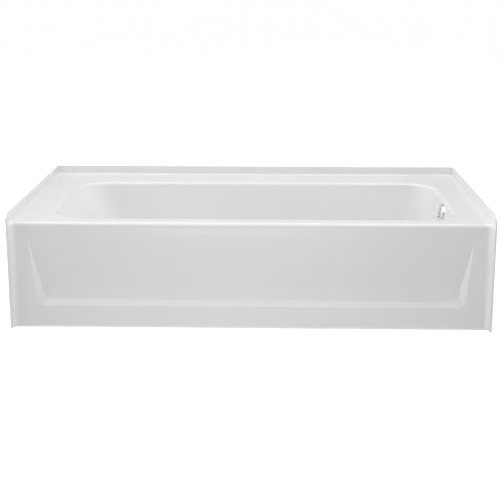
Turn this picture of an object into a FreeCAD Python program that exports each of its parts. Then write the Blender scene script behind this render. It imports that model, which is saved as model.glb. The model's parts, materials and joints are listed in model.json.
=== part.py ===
import FreeCAD, Part
import math
import os

import Sketcher
from FreeCAD import Placement, Rotation, Vector

# An alcove bathtub, 1524 x 762 mm, with a fitted trip-lever waste and overflow.
#
# The part's own frame: the origin is the middle of the footprint on the floor,
# +X runs to the drain end, -Y is the apron side that faces the room, +Z is up.
# Sizes are in millimetres. The driving sizes are the rows of the Dims sheet.

doc = FreeCAD.newDocument("alcove_bathtub")
sheet = doc.addObject("Spreadsheet::Sheet", "Dims")


class Size(float):
    """A number that also carries the spreadsheet expression it comes from."""

    def __new__(cls, value, text=None):
        size = float.__new__(cls, value)
        size.text = text or "%.6f" % value
        return size

    def joined(self, sign, other, value, swapped=False):
        other_text = other.text if isinstance(other, Size) else "%.6f" % other
        pair = (other_text, self.text) if swapped else (self.text, other_text)
        return Size(value, "(%s %s %s)" % (pair[0], sign, pair[1]))

    def __add__(self, other):
        return self.joined("+", other, float(self) + float(other))

    def __radd__(self, other):
        return self.joined("+", other, float(other) + float(self), True)

    def __sub__(self, other):
        return self.joined("-", other, float(self) - float(other))

    def __rsub__(self, other):
        return self.joined("-", other, float(other) - float(self), True)

    def __mul__(self, other):
        return self.joined("*", other, float(self) * float(other))

    def __rmul__(self, other):
        return self.joined("*", other, float(other) * float(self), True)

    def __truediv__(self, other):
        return self.joined("/", other, float(self) / float(other))

    def __neg__(self):
        return Size(-float(self), "(0 - %s)" % self.text)


def as_size(value):
    return value if isinstance(value, Size) else Size(value)


def tangent(angle):
    return Size(math.tan(math.radians(angle)), "tan(%s * 1 deg)" % angle.text)


def cosine(angle):
    return Size(math.cos(math.radians(angle)), "cos(%s * 1 deg)" % angle.text)


def sine(angle):
    return Size(math.sin(math.radians(angle)), "sin(%s * 1 deg)" % angle.text)


sheet_row = 0


def dim(alias, value):
    """Adds one driving size to the sheet and gives it back as a Size."""
    global sheet_row
    sheet_row += 1
    sheet.set("A%d" % sheet_row, alias)
    sheet.set("B%d" % sheet_row, str(value))
    sheet.setAlias("B%d" % sheet_row, alias)
    return Size(value, "Dims." + alias)


# The moulded shell
tub_length = dim("tub_length", 1524)
tub_width = dim("tub_width", 762)
deck_height = dim("deck_height", 345)
flange_rise = dim("flange_rise", 31)
shell_wall = dim("shell_wall", 5)
apron_setback = dim("apron_setback", 25)
cove_radius = dim("cove_radius", 22)
cove_sweep = dim("cove_sweep", 72)
return_depth = dim("return_depth", 80)
nose_radius = dim("nose_radius", 12)
flange_corner = dim("flange_corner", 25)
deck_fillet = dim("deck_fillet", 8)
lip_height = dim("lip_height", 8)
lip_flare = dim("lip_flare", 5)
lip_radius = dim("lip_radius", 9)
lip_root = dim("lip_root", 0.5)
lip_run_in = dim("lip_run_in", 14)

# The basin
basin_left = dim("basin_left", -640)
basin_right = dim("basin_right", 658)
basin_front = dim("basin_front", -298)
basin_back = dim("basin_back", 232)
basin_floor = dim("basin_floor", 85)
side_draft = dim("side_draft", 7)
drain_end_draft = dim("drain_end_draft", 6)
backrest_lean = dim("backrest_lean", 31)
corner_left = dim("corner_left", 110)
corner_right = dim("corner_right", 100)
rim_roll = dim("rim_roll", 12)
floor_cove = dim("floor_cove", 50)

# The shallow panel pressed into the apron: flush at its top, deepest at its foot
panel_top = dim("panel_top", 303)
panel_foot = dim("panel_foot", 71)
panel_ledge = dim("panel_ledge", 15)
panel_depth = dim("panel_depth", 18)
panel_half = dim("panel_half", 681)
panel_side_run = dim("panel_side_run", 28)
panel_face_lean = dim("panel_face_lean", 5.5)
panel_floor_lean = dim("panel_floor_lean", 13)
panel_corner = dim("panel_corner", 45)
panel_face_corner = dim("panel_face_corner", 15)
panel_over_top = dim("panel_over_top", 15)
panel_in_front = dim("panel_in_front", 6)

# Drain and overflow openings
drain_x = dim("drain_x", 500)
drain_hole = dim("drain_hole", 52)
well_width = dim("well_width", 96)
well_floor_width = dim("well_floor_width", 82)
well_depth = dim("well_depth", 3)
overflow_z = dim("overflow_z", 293)
overflow_hole = dim("overflow_hole", 58)

# Timber under the shell
board_thickness = dim("board_thickness", 12)
board_left = dim("board_left", -430)
board_right = dim("board_right", 425)
board_half_width = dim("board_half_width", 170)
board_corner = dim("board_corner", 40)
timber_width = dim("timber_width", 38)
bearer_half_length = dim("bearer_half_length", 165)
bearer_spread = dim("bearer_spread", 378)
rail_half_length = dim("rail_half_length", 600)
rail_y = dim("rail_y", -323)
deck_board_y = dim("deck_board_y", 305)
bearer_screw_half = dim("bearer_screw_half", 110)
timber_screw = dim("timber_screw", 5)
timber_screw_head = dim("timber_screw_head", 12)
timber_screw_sink = dim("timber_screw_sink", 25)
timber_screw_bite = dim("timber_screw_bite", 10)
deck_board_width = dim("deck_board_width", 115)
deck_board_thickness = dim("deck_board_thickness", 19)

# Waste tubing, 1-1/2 in
tube_width = dim("tube_width", 38.1)
tube_wall = dim("tube_wall", 1.2)
tube_x = dim("tube_x", 698)
waste_z = dim("waste_z", 42)
fitting_wall = dim("fitting_wall", 3)
fitting_flange = dim("fitting_flange", 4)
thread_wall = dim("thread_wall", 1.5)
slip_fit = dim("slip_fit", 0.35)
nut_height = dim("nut_height", 20)
nut_flats = dim("nut_flats", 54)
nut_lip = dim("nut_lip", 3.5)
nut_bevel = dim("nut_bevel", 4.9)
washer_thickness = dim("washer_thickness", 4)
tee_reach = dim("tee_reach", 48)
tee_rise = dim("tee_rise", 34)
socket_depth = dim("socket_depth", 16)
side_socket = dim("side_socket", 12)
seat_step = dim("seat_step", 4)
port_radius = dim("port_radius", 13)
thread_length = dim("thread_length", 12.5)
outlet_clear = dim("outlet_clear", 0.15)
seat_bore = dim("seat_bore", 16)

# Drain fittings
strainer_flange = dim("strainer_flange", 73)
strainer_thread = dim("strainer_thread", 47.6)
strainer_length = dim("strainer_length", 21.5)
strainer_bore = dim("strainer_bore", 38)
strainer_flange_thickness = dim("strainer_flange_thickness", 2.5)
strainer_edge = dim("strainer_edge", 1)
cross_z = dim("cross_z", -14)
cross_width = dim("cross_width", 4)
cross_boss = dim("cross_boss", 5)
grid_width = dim("grid_width", 43)
grid_cap = dim("grid_cap", 17.5)
grid_crown = dim("grid_crown", 4)
grid_sheet = dim("grid_sheet", 1.2)
grid_screw = dim("grid_screw", 5)
grid_hole = dim("grid_hole", 6)
grid_hole_ring = dim("grid_hole_ring", 13)
shoe_width = dim("shoe_width", 54)
shoe_wall = dim("shoe_wall", 5)
shoe_chamfer = dim("shoe_chamfer", 5)
shoe_flange_inset = dim("shoe_flange_inset", 1.5)
shoe_reach = dim("shoe_reach", 48)
gasket_thickness = dim("gasket_thickness", 3)

# Overflow fittings and the trip lever
plate_width = dim("plate_width", 76)
plate_rise = dim("plate_rise", 10)
plate_wall = dim("plate_wall", 1.5)
screw_spacing = dim("screw_spacing", 46)
elbow_face = dim("elbow_face", 666)
elbow_flange = dim("elbow_flange", 72)
elbow_drop = dim("elbow_drop", 37)
elbow_turn = dim("elbow_turn", 15)
elbow_thread = dim("elbow_thread", 20)
boss_width = dim("boss_width", 9)
boss_length = dim("boss_length", 10)
gasket_width = dim("gasket_width", 74)
gasket_bore = dim("gasket_bore", 58)
plate_bevel = dim("plate_bevel", 7)
plate_screw_head = dim("plate_screw_head", 2)
plate_screw = dim("plate_screw", 5)
screw_length = dim("screw_length", 30)
tapping_depth = dim("tapping_depth", 21)
slot_length = dim("slot_length", 20)
slot_width = dim("slot_width", 9)
ear_drop = dim("ear_drop", 3)
ear_width = dim("ear_width", 8)
ear_gap = dim("ear_gap", 0.6)
ear_thickness = dim("ear_thickness", 2)
hub_half = dim("hub_half", 4)
hub_radius = dim("hub_radius", 3.5)
pivot_pin = dim("pivot_pin", 3)
pin_clear = dim("pin_clear", 0.05)
pivot_lift = dim("pivot_lift", 1)
arm_length = dim("arm_length", 31)
lever_throw = dim("lever_throw", 20)
handle_reach = dim("handle_reach", 27)
handle_width = dim("handle_width", 7)
handle_root_run = dim("handle_root_run", 8)
handle_root_half = dim("handle_root_half", 2)
handle_tip_half = dim("handle_tip_half", 3)
arm_side = dim("arm_side", 2.5)
arm_sheet = dim("arm_sheet", 2)
arm_half = dim("arm_half", 3.5)
arm_tip = dim("arm_tip", 1)
arm_slot_half = dim("arm_slot_half", 1.65)
arm_slot_run = dim("arm_slot_run", 2.2)
cotter = dim("cotter", 2.6)
cotter_length = dim("cotter_length", 7)
cotter_head = dim("cotter_head", 1)
wire_straight = dim("wire_straight", 42)
wire_drop = dim("wire_drop", 95)
coupling_flats = dim("coupling_flats", 8)
coupling_length = dim("coupling_length", 24)
lock_height = dim("lock_height", 3)
yoke_height = dim("yoke_height", 5)
yoke_width = dim("yoke_width", 7)
plunger_wall = dim("plunger_wall", 2)
wire_width = dim("wire_width", 2.5)
eye_width = dim("eye_width", 2)
rod_width = dim("rod_width", 4)
plunger_height = dim("plunger_height", 36)
plunger_clear = dim("plunger_clear", 0.55)
plunger_lead = dim("plunger_lead", 1)

# How far a cut runs past the face that it opens
past = dim("past", 1)

half_length = tub_length / 2
half_width = tub_width / 2
front = -half_width
apron_face = front + apron_setback
flange_top = deck_height + flange_rise
basin_centre = (basin_front + basin_back) / 2
under_floor = basin_floor - shell_wall
well_floor = basin_floor - well_depth
seat_under = well_floor - shell_wall
tube_outer = tube_width / 2
tube_bore = tube_outer - tube_wall
fitting_outer = tube_bore + fitting_wall
thread_outer = fitting_outer + thread_wall
tee_top = waste_z + tee_rise
tee_bottom = waste_z - tee_rise
tee_inlet = tube_x - tee_reach
wall_x = basin_right - (deck_height - overflow_z) * tangent(drain_end_draft)
wall_back = wall_x + shell_wall / cosine(drain_end_draft)
pivot_x = wall_x - pivot_lift * cosine(drain_end_draft)
pivot_z = overflow_z + pivot_lift * sine(drain_end_draft)
pin_x = pivot_x + arm_length
pin_z = pivot_z + arm_length * tangent(lever_throw)
travel = 2 * arm_length * tangent(lever_throw)
seat_z = tee_bottom + socket_depth - seat_step
lever_ear = hub_half + ear_gap
lever_ear_end = lever_ear + ear_thickness


# ---------------------------------------------------------------- sketch tools

def new_body(label):
    body = doc.addObject("PartDesign::Body", label)
    body.Label = label
    return body


def new_sketch(body, name, plane="XY_Plane", offset=0):
    """A sketch on one of the body's own origin planes, moved along its normal."""
    sketch = body.newObject("Sketcher::SketchObject", name)
    planes = [item for item in body.Origin.OriginFeatures if item.Role == plane]
    sketch.AttachmentSupport = [(planes[0], "")]
    sketch.MapMode = "FlatFace"
    offset = as_size(offset)
    sketch.AttachmentOffset = Placement(Vector(0, 0, float(offset)), Rotation())
    sketch.setExpression("AttachmentOffset.Base.z", offset.text)
    return sketch


def constrain(sketch, kind, *arguments):
    """A constraint whose last argument is a Size, bound to the sheet."""
    value = as_size(arguments[-1])
    constraint = Sketcher.Constraint(kind, *(list(arguments[:-1]) + [float(value)]))
    index = sketch.addConstraint(constraint)
    sketch.setExpression("Constraints[%d]" % index, value.text)


def pin_point(sketch, geometry, point, x, y):
    constrain(sketch, "DistanceX", -1, 1, geometry, point, x)
    constrain(sketch, "DistanceY", -1, 1, geometry, point, y)


def draw_circle(sketch, x, y, radius):
    centre = Vector(float(x), float(y), 0)
    index = sketch.addGeometry(Part.Circle(centre, Vector(0, 0, 1), float(radius)))
    constrain(sketch, "Radius", index, radius)
    pin_point(sketch, index, 3, x, y)


def arc_between(start, end, radius, bulge):
    """The arc from start to end; a positive bulge leaves on the right of the chord."""
    chord = end - start
    middle = (start + end) * 0.5
    across = Vector(chord.y, -chord.x, 0).normalize()
    reach = math.sqrt(max(radius ** 2 - (chord.Length / 2) ** 2, 0))
    crest = middle + across * (radius - reach) * bulge
    return Part.Arc(start, crest, end)


def draw_outline(sketch, corners):
    """A closed outline through corners (x, y) or (x, y, radius, bulge).

    The last two describe an arc from that corner to the next; bulge is 1 where
    the arc stands out to the right of the way forward and -1 to the left.
    """
    points = [Vector(float(corner[0]), float(corner[1]), 0) for corner in corners]
    count = len(corners)
    ends = []
    for number, corner in enumerate(corners):
        start = points[number]
        end = points[(number + 1) % count]
        if len(corner) == 2:
            index = sketch.addGeometry(Part.LineSegment(start, end))
            ends.append((index, 1, 2))
            continue
        radius, bulge = corner[2], corner[3]
        index = sketch.addGeometry(arc_between(start, end, float(radius), bulge))
        if (end - start).Length < 2 * float(radius) - 0.001:
            constrain(sketch, "Radius", index, radius)
        elif abs(end.x - start.x) < abs(end.y - start.y):
            constrain(sketch, "DistanceX", -1, 1, index, 3, corner[0])
        else:
            constrain(sketch, "DistanceY", -1, 1, index, 3, corner[1])
        ends.append((index, 1, 2) if bulge > 0 else (index, 2, 1))
    for number, (index, first, last) in enumerate(ends):
        following = ends[(number + 1) % count]
        sketch.addConstraint(
            Sketcher.Constraint("Coincident", index, last, following[0], following[1]))
        pin_point(sketch, index, first, corners[number][0], corners[number][1])


def draw_outline_open(sketch, points):
    """A path of straight runs through the points."""
    last = None
    for first, second in zip(points, points[1:]):
        start = Vector(float(first[0]), float(first[1]), 0)
        end = Vector(float(second[0]), float(second[1]), 0)
        index = sketch.addGeometry(Part.LineSegment(start, end))
        if last is not None:
            sketch.addConstraint(Sketcher.Constraint("Coincident", last, 2, index, 1))
        pin_point(sketch, index, 1, first[0], first[1])
        last = index
    pin_point(sketch, last, 2, points[-1][0], points[-1][1])


def rounded_rectangle(x_low, x_high, y_low, y_high, radius_low, radius_high):
    """Corners of a rectangle whose low-x and high-x ends have their own radii."""
    return [
        (x_low + radius_low, y_low),
        (x_high - radius_high, y_low, radius_high, 1),
        (x_high, y_low + radius_high),
        (x_high, y_high - radius_high, radius_high, 1),
        (x_high - radius_high, y_high),
        (x_low + radius_low, y_high, radius_low, 1),
        (x_low, y_high - radius_low),
        (x_low, y_low + radius_low, radius_low, 1),
    ]


def pad(body, sketch, length, name):
    feature = body.newObject("PartDesign::Pad", name)
    feature.Profile = sketch
    feature.setExpression("Length", as_size(length).text)
    return feature


def pocket(body, sketch, length, name, reversed_way=False):
    feature = body.newObject("PartDesign::Pocket", name)
    feature.Profile = sketch
    feature.setExpression("Length", as_size(length).text)
    feature.Reversed = reversed_way
    return feature


def loft(body, kind, sketches, name):
    feature = body.newObject("PartDesign::" + kind, name)
    feature.Profile = sketches[0]
    feature.Sections = sketches[1:]
    feature.Ruled = True
    return feature


def round_edges(body, base, radius, test, name, rise=None):
    """Fillets the edges of base whose two ends and middle all pass the test.

    With a rise, only edges that climb by at least that much are taken.
    """
    doc.recompute()
    picked = []
    for number, edge in enumerate(base.Shape.Edges, 1):
        middle = edge.valueAt((edge.FirstParameter + edge.LastParameter) / 2)
        ends = [vertex.Point for vertex in edge.Vertexes]
        climb = abs(ends[0].z - ends[-1].z)
        if all(test(point) for point in ends + [middle]) and climb > (rise or 0) - 0.01:
            picked.append("Edge%d" % number)
    feature = body.newObject("PartDesign::Fillet", name)
    feature.Base = (base, picked)
    feature.setExpression("Radius", as_size(radius).text)
    doc.recompute()
    return feature


def near(value, target):
    return abs(value - float(target)) < 0.01


# ------------------------------------------------------------------- tub shell

def basin_wedge(body, kind, name, top, floor, grow):
    """The basin's four leaning sides as one tapered block, grown for the underside."""
    feature = body.newObject("PartDesign::" + kind, name)
    planes = [item for item in body.Origin.OriginFeatures if item.Role == "XY_Plane"]
    feature.AttachmentSupport = [(planes[0], "")]
    feature.MapMode = "FlatFace"
    feature.AttachmentOffset = Placement(
        Vector(0, 0, float(floor)), Rotation(Vector(1, 0, 0), 90))
    feature.setExpression("AttachmentOffset.Base.z", floor.text)
    for suffix, level in (("", floor), ("2", top)):
        below = deck_height - level
        left = basin_left + below * tangent(backrest_lean) - grow / cosine(backrest_lean)
        right = (basin_right - below * tangent(drain_end_draft)
                 + grow / cosine(drain_end_draft))
        inset = below * tangent(side_draft) - grow / cosine(side_draft)
        sides = {
            "X%smin" % suffix: left,
            "X%smax" % suffix: right,
            "Z%smin" % suffix: inset - basin_back,
            "Z%smax" % suffix: -(basin_front + inset),
        }
        for side, size in sides.items():
            feature.setExpression(side, size.text)
    feature.setExpression("Ymin", "0")
    feature.setExpression("Ymax", (top - floor).text)
    return feature


def basin_corners(tub, base, top, floor, extra, name):
    """Rounds the four leaning corner edges: wide behind the backrest, less at the drain."""
    for end, radius, low, high in (
            ("Left", corner_left, -half_length, 0.0), ("Right", corner_right, 0.0, half_length)):
        def at_corner(point):
            return float(low) < point.x < float(high)
        base = round_edges(
            tub, base, radius + extra,
            lambda p: at_corner(p) and float(floor) - 0.01 < p.z < float(top) + 0.01,
            name + end, float(top - floor))
    return base


def at_basin_rim(point):
    return (near(point.z, deck_height) and basin_left - past < point.x < basin_right + past
            and basin_front - past < point.y < basin_back + past)


def build_tub_shell():
    tub = new_body("tub_shell")
    inner_x = half_length - shell_wall
    cove_run = cove_radius * sine(cove_sweep)
    cove_x = inner_x - cove_run
    cove_y = apron_face - cove_radius
    cove_end = cove_y + cove_radius * cosine(cove_sweep)

    plan = new_sketch(tub, "PlanOutline")
    draw_outline(plan, [
        (-half_length, front),
        (-inner_x, front),
        (-inner_x, cove_end, cove_radius, -1),
        (-cove_x, apron_face),
        (cove_x, apron_face, cove_radius, -1),
        (inner_x, cove_end),
        (inner_x, front),
        (half_length, front),
        (half_length, half_width),
        (-half_length, half_width),
    ])
    pad(tub, plan, flange_top, "Block")
    deck = new_sketch(tub, "DeckOutline", "XY_Plane", flange_top)
    past_front = front - apron_setback
    draw_outline(deck, [
        (-inner_x, past_front),
        (inner_x, past_front),
        (inner_x, half_width - shell_wall),
        (-inner_x, half_width - shell_wall),
    ])
    deck_cut = pocket(tub, deck, flange_rise, "DeckCut")
    nose = round_edges(
        tub, deck_cut, nose_radius,
        lambda p: near(p.z, deck_height) and cove_y - 0.01 < p.y < apron_face + 0.01,
        "RimNose")
    joint = round_edges(
        tub, nose, deck_fillet,
        lambda p: near(p.z, deck_height) and (near(abs(p.x), inner_x)
                                              or near(p.y, half_width - shell_wall)),
        "DeckToFlange")
    round_edges(
        tub, joint, flange_corner,
        lambda p: near(p.z, flange_top) and near(p.y, front),
        "FlangeCorners")

    hollow = new_sketch(tub, "HollowOutline")
    inner_cove = cove_radius + shell_wall
    meet = Size(math.sqrt(inner_cove ** 2 - cove_run ** 2),
                "sqrt(%s^2 - %s^2)" % (inner_cove.text, cove_run.text))
    return_end = front + return_depth
    past_side = half_length + shell_wall
    draw_outline(hollow, [
        (-inner_x, cove_y + meet, inner_cove, -1),
        (-cove_x, apron_face + shell_wall),
        (cove_x, apron_face + shell_wall, inner_cove, -1),
        (inner_x, cove_y + meet),
        (inner_x, return_end),
        (past_side, return_end),
        (past_side, half_width + shell_wall),
        (-past_side, half_width + shell_wall),
        (-past_side, return_end),
        (-inner_x, return_end),
    ])
    pocket(tub, hollow, deck_height - shell_wall, "Underside", True)

    under_deck = deck_height - shell_wall
    basin_wedge(
        tub, "AdditiveWedge", "BasinOuter", deck_height - shell_wall / 2, under_floor, shell_wall)
    cavity = basin_wedge(tub, "SubtractiveWedge", "Basin", deck_height, basin_floor, 0)
    cavity = basin_corners(tub, cavity, deck_height, basin_floor, 0, "BasinCorner")
    cavity = basin_corners(tub, cavity, under_deck, under_floor, shell_wall, "BasinOuterCorner")
    cove = round_edges(
        tub, cavity, floor_cove,
        lambda p: near(p.z, basin_floor), "BasinCove")
    outer_cove = round_edges(
        tub, cove, floor_cove + shell_wall,
        lambda p: near(p.z, under_floor), "BasinOuterCove")
    round_edges(tub, outer_cove, rim_roll, at_basin_rim, "RimRoll")
    flare_foot(tub, cove_x + lip_run_in)
    press_panel(tub)
    cut_drain_well(tub)
    cut_overflow(tub)
    return tub


def flare_foot(tub, half_run):
    """The apron's foot flares out a little, and runs into the coves at both ends."""
    section = new_sketch(tub, "FootSection", "YZ_Plane")
    draw_outline(section, [
        (apron_face + lip_root, 0), (apron_face + lip_root, lip_height),
        (apron_face, lip_height, lip_radius, -1), (apron_face - lip_flare, 0)])
    lip = pad(tub, section, 2 * half_run, "FootFlare")
    lip.Midplane = True


def panel_outline(sketch, foot, half, lean, radius, top):
    """A panel with two rounded lower corners and sides that lean outwards."""
    angle = (90 - lean) / 2
    run = radius * tangent(angle)
    side = half + (top - foot) * tangent(lean)
    draw_outline(sketch, [
        (run - half, foot),
        (half - run, foot, radius, 1),
        (half + run * sine(lean), foot + run * cosine(lean)),
        (side, top),
        (-side, top),
        (-half - run * sine(lean), foot + run * cosine(lean), radius, 1),
    ])


def panel_loft(tub, kind, name, start_depth, shift):
    """The space between a level in or before the apron face and the sloped panel."""
    per_depth_foot = panel_ledge / panel_depth
    per_depth_side = panel_side_run / panel_depth
    face = new_sketch(tub, name + "Face", "XZ_Plane", -(apron_face + start_depth))
    depth = start_depth - shift
    panel_outline(
        face, panel_foot + depth * per_depth_foot, panel_half - depth * per_depth_side,
        panel_face_lean, panel_face_corner, panel_top + panel_over_top)
    sloped = new_sketch(tub, name + "Sloped", "XZ_Plane")
    drop = panel_top - panel_foot - panel_ledge
    slope = Size(math.degrees(math.atan(panel_depth / drop)),
                 "atan(%s / %s)" % (panel_depth.text, drop.text))
    sloped.AttachmentOffset = Placement(
        Vector(0, float(panel_top), -float(apron_face + shift)),
        Rotation(Vector(1, 0, 0), float(slope)))
    sloped.setExpression("AttachmentOffset.Base.y", panel_top.text)
    sloped.setExpression("AttachmentOffset.Base.z", (-(apron_face + shift)).text)
    sloped.setExpression("AttachmentOffset.Rotation.Angle", slope.text)
    panel_outline(
        sloped, -drop, panel_half - panel_side_run, panel_floor_lean, panel_corner,
        panel_over_top)
    return loft(tub, kind, [face, sloped], name)


def press_panel(tub):
    """The panel is moulded: a boss behind the apron keeps the wall thickness."""
    panel_loft(tub, "AdditiveLoft", "PanelBack", shell_wall / 2, shell_wall)
    panel_loft(tub, "SubtractiveLoft", "PanelFront", -panel_in_front, 0)


def cut_drain_well(tub):
    """A shallow dish with the waste hole, on a thicker seat below."""
    seat = new_sketch(tub, "WellSeat", "XY_Plane", basin_floor - shell_wall - well_depth)
    draw_circle(seat, drain_x, basin_centre, well_width / 2 + shell_wall)
    pad(tub, seat, well_depth + shell_wall / 2, "WellSeatPad")
    dish_top = new_sketch(tub, "DishTop", "XY_Plane", basin_floor)
    draw_circle(dish_top, drain_x, basin_centre, well_width / 2)
    dish_floor = new_sketch(tub, "DishFloor", "XY_Plane", basin_floor - well_depth)
    draw_circle(dish_floor, drain_x, basin_centre, well_floor_width / 2)
    loft(tub, "SubtractiveLoft", [dish_top, dish_floor], "Dish")
    hole = new_sketch(tub, "WasteHole", "XY_Plane", basin_floor)
    draw_circle(hole, drain_x, basin_centre, drain_hole / 2)
    pocket(tub, hole, shell_wall + 2 * well_depth, "WasteHoleCut")


def cut_overflow(tub):
    hole = new_sketch(tub, "OverflowHole", "YZ_Plane", basin_right - floor_cove)
    draw_circle(hole, basin_centre, overflow_z, overflow_hole / 2)
    pocket(tub, hole, 2 * floor_cove, "OverflowCut", True)


# -------------------------------------------------------------- solid primitives

ALONG = {
    "+Z": Rotation(),
    "-Z": Rotation(Vector(1, 0, 0), 180),
    "+X": Rotation(Vector(0, 1, 0), 90),
    "-X": Rotation(Vector(0, 1, 0), -90),
    "+Y": Rotation(Vector(1, 0, 0), -90),
}


def bind(item, **sizes):
    for name, size in sizes.items():
        item.setExpression(name, as_size(size).text)


def place(item, x, y, z, along="+Z"):
    """Puts an object at (x, y, z) with its own +Z along the named way."""
    item.Placement = Placement(Vector(float(x), float(y), float(z)), ALONG[along])
    for letter, size in zip("xyz", (x, y, z)):
        item.setExpression("Placement.Base." + letter, as_size(size).text)
    return item


def cylinder(radius, height, x, y, z, along="+Z"):
    item = doc.addObject("Part::Cylinder", "Cylinder")
    bind(item, Radius=radius, Height=height)
    return place(item, x, y, z, along)


def box(length, width, height, x, y, z):
    item = doc.addObject("Part::Box", "Box")
    bind(item, Length=length, Width=width, Height=height)
    return place(item, x, y, z)


def fuse(items, label="Fusion"):
    item = doc.addObject("Part::MultiFuse", label)
    item.Shapes = items
    item.Refine = True
    return item


def cut(base, tools, label="Cut"):
    item = doc.addObject("Part::Cut", label)
    item.Base = base
    item.Tool = fuse(tools) if len(tools) > 1 else tools[0]
    item.Refine = True
    return item


def group(items, label):
    """Separate solids that share one node."""
    item = doc.addObject("Part::Compound", label)
    item.Links = items
    return item


def turned(label, corners):
    """A body turned about its own Z axis from a half section of (radius, height)."""
    body = new_body(label)
    sketch = new_sketch(body, label + "_section", "XZ_Plane")
    draw_outline(sketch, corners)
    turn = body.newObject("PartDesign::Revolution", label + "_turn")
    turn.Profile = sketch
    turn.ReferenceAxis = (sketch, ["V_Axis"])
    turn.Angle = 360
    return body


def tilt_to_wall(item, x, y, z):
    """Stands an object's own +Z out of the drain-end wall, its +X up the wall."""
    place(item, x, y, z)
    item.Placement.Rotation = Rotation(Vector(0, 1, 0), 90)
    item.setExpression("Placement.Rotation.Angle", (drain_end_draft - 90).text)
    return item


# ----------------------------------------------------------------------- timber

def bearer_places():
    middle = (board_left + board_right) / 2
    return [middle - bearer_spread, middle, middle + bearer_spread]


def build_floor_board():
    board = new_body("floor_board")
    outline = new_sketch(board, "BoardOutline")
    draw_outline(outline, rounded_rectangle(
        board_left, board_right, -board_half_width, board_half_width,
        board_corner, board_corner))
    pad(board, outline, board_thickness, "Board")
    pilots = new_sketch(board, "BoardPilots")
    for x in bearer_places():
        for side in (-1, 1):
            draw_circle(pilots, x, side * bearer_screw_half, timber_screw / 2)
    pocket(board, pilots, timber_screw_bite, "BoardPilotHoles", True)
    place(board, 0, basin_centre, under_floor - board_thickness)


def build_bearers():
    """Three timbers that carry the floor board, and the screws that hold them."""
    height = under_floor - board_thickness
    half = timber_width / 2
    screws = []
    for name, x in zip(("head", "middle", "drain"), bearer_places()):
        bearer = new_body("bearer_" + name)
        outline = new_sketch(bearer, "Outline_" + name)
        draw_outline(outline, [
            (-half, -bearer_half_length), (half, -bearer_half_length),
            (half, bearer_half_length), (-half, bearer_half_length)])
        timber = pad(bearer, outline, height, "Timber_" + name)
        head_hole = new_sketch(bearer, "HeadHoles_" + name)
        shank_hole = new_sketch(bearer, "ShankHoles_" + name)
        for side in (-1, 1):
            across = side * bearer_screw_half
            draw_circle(head_hole, 0, across, timber_screw_head / 2)
            draw_circle(shank_hole, 0, across, timber_screw / 2)
            y = basin_centre + across
            screws.append(fuse([
                cylinder(timber_screw_head / 2, timber_screw_head / 4, x, y,
                         timber_screw_sink - timber_screw_head / 4),
                cylinder(timber_screw / 2, height - timber_screw_sink + timber_screw_bite,
                         x, y, timber_screw_sink)], "TimberScrew"))
        pocket(bearer, head_hole, timber_screw_sink, "HeadSink_" + name, True)
        pocket(bearer, shank_hole, height, "ShankBore_" + name, True)
        place(bearer, x, basin_centre, 0)
    group(screws, "bearer_screws")


def build_deck_timbers():
    """A rail under the front rim, where people sit, and a board under the back deck."""
    height = timber_width
    under = deck_height - shell_wall
    rail = new_body("front_rim_rail")
    section = new_sketch(rail, "RailSection", "YZ_Plane", -rail_half_length)
    half = timber_width / 2
    draw_outline(section, [
        (-half, -height), (half, -height), (half, 0), (-half, 0)])
    pad(rail, section, 2 * rail_half_length, "Rail")
    place(rail, 0, rail_y, under)
    board = new_body("back_deck_board")
    outline = new_sketch(board, "DeckBoardOutline")
    half = deck_board_width / 2
    draw_outline(outline, [
        (-rail_half_length, -half), (rail_half_length, -half),
        (rail_half_length, half), (-rail_half_length, half)])
    pad(board, outline, deck_board_thickness, "DeckBoard")
    place(board, 0, deck_board_y, under - deck_board_thickness)


# ----------------------------------------------------------- waste and overflow

GRID_HOLES = 8


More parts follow.
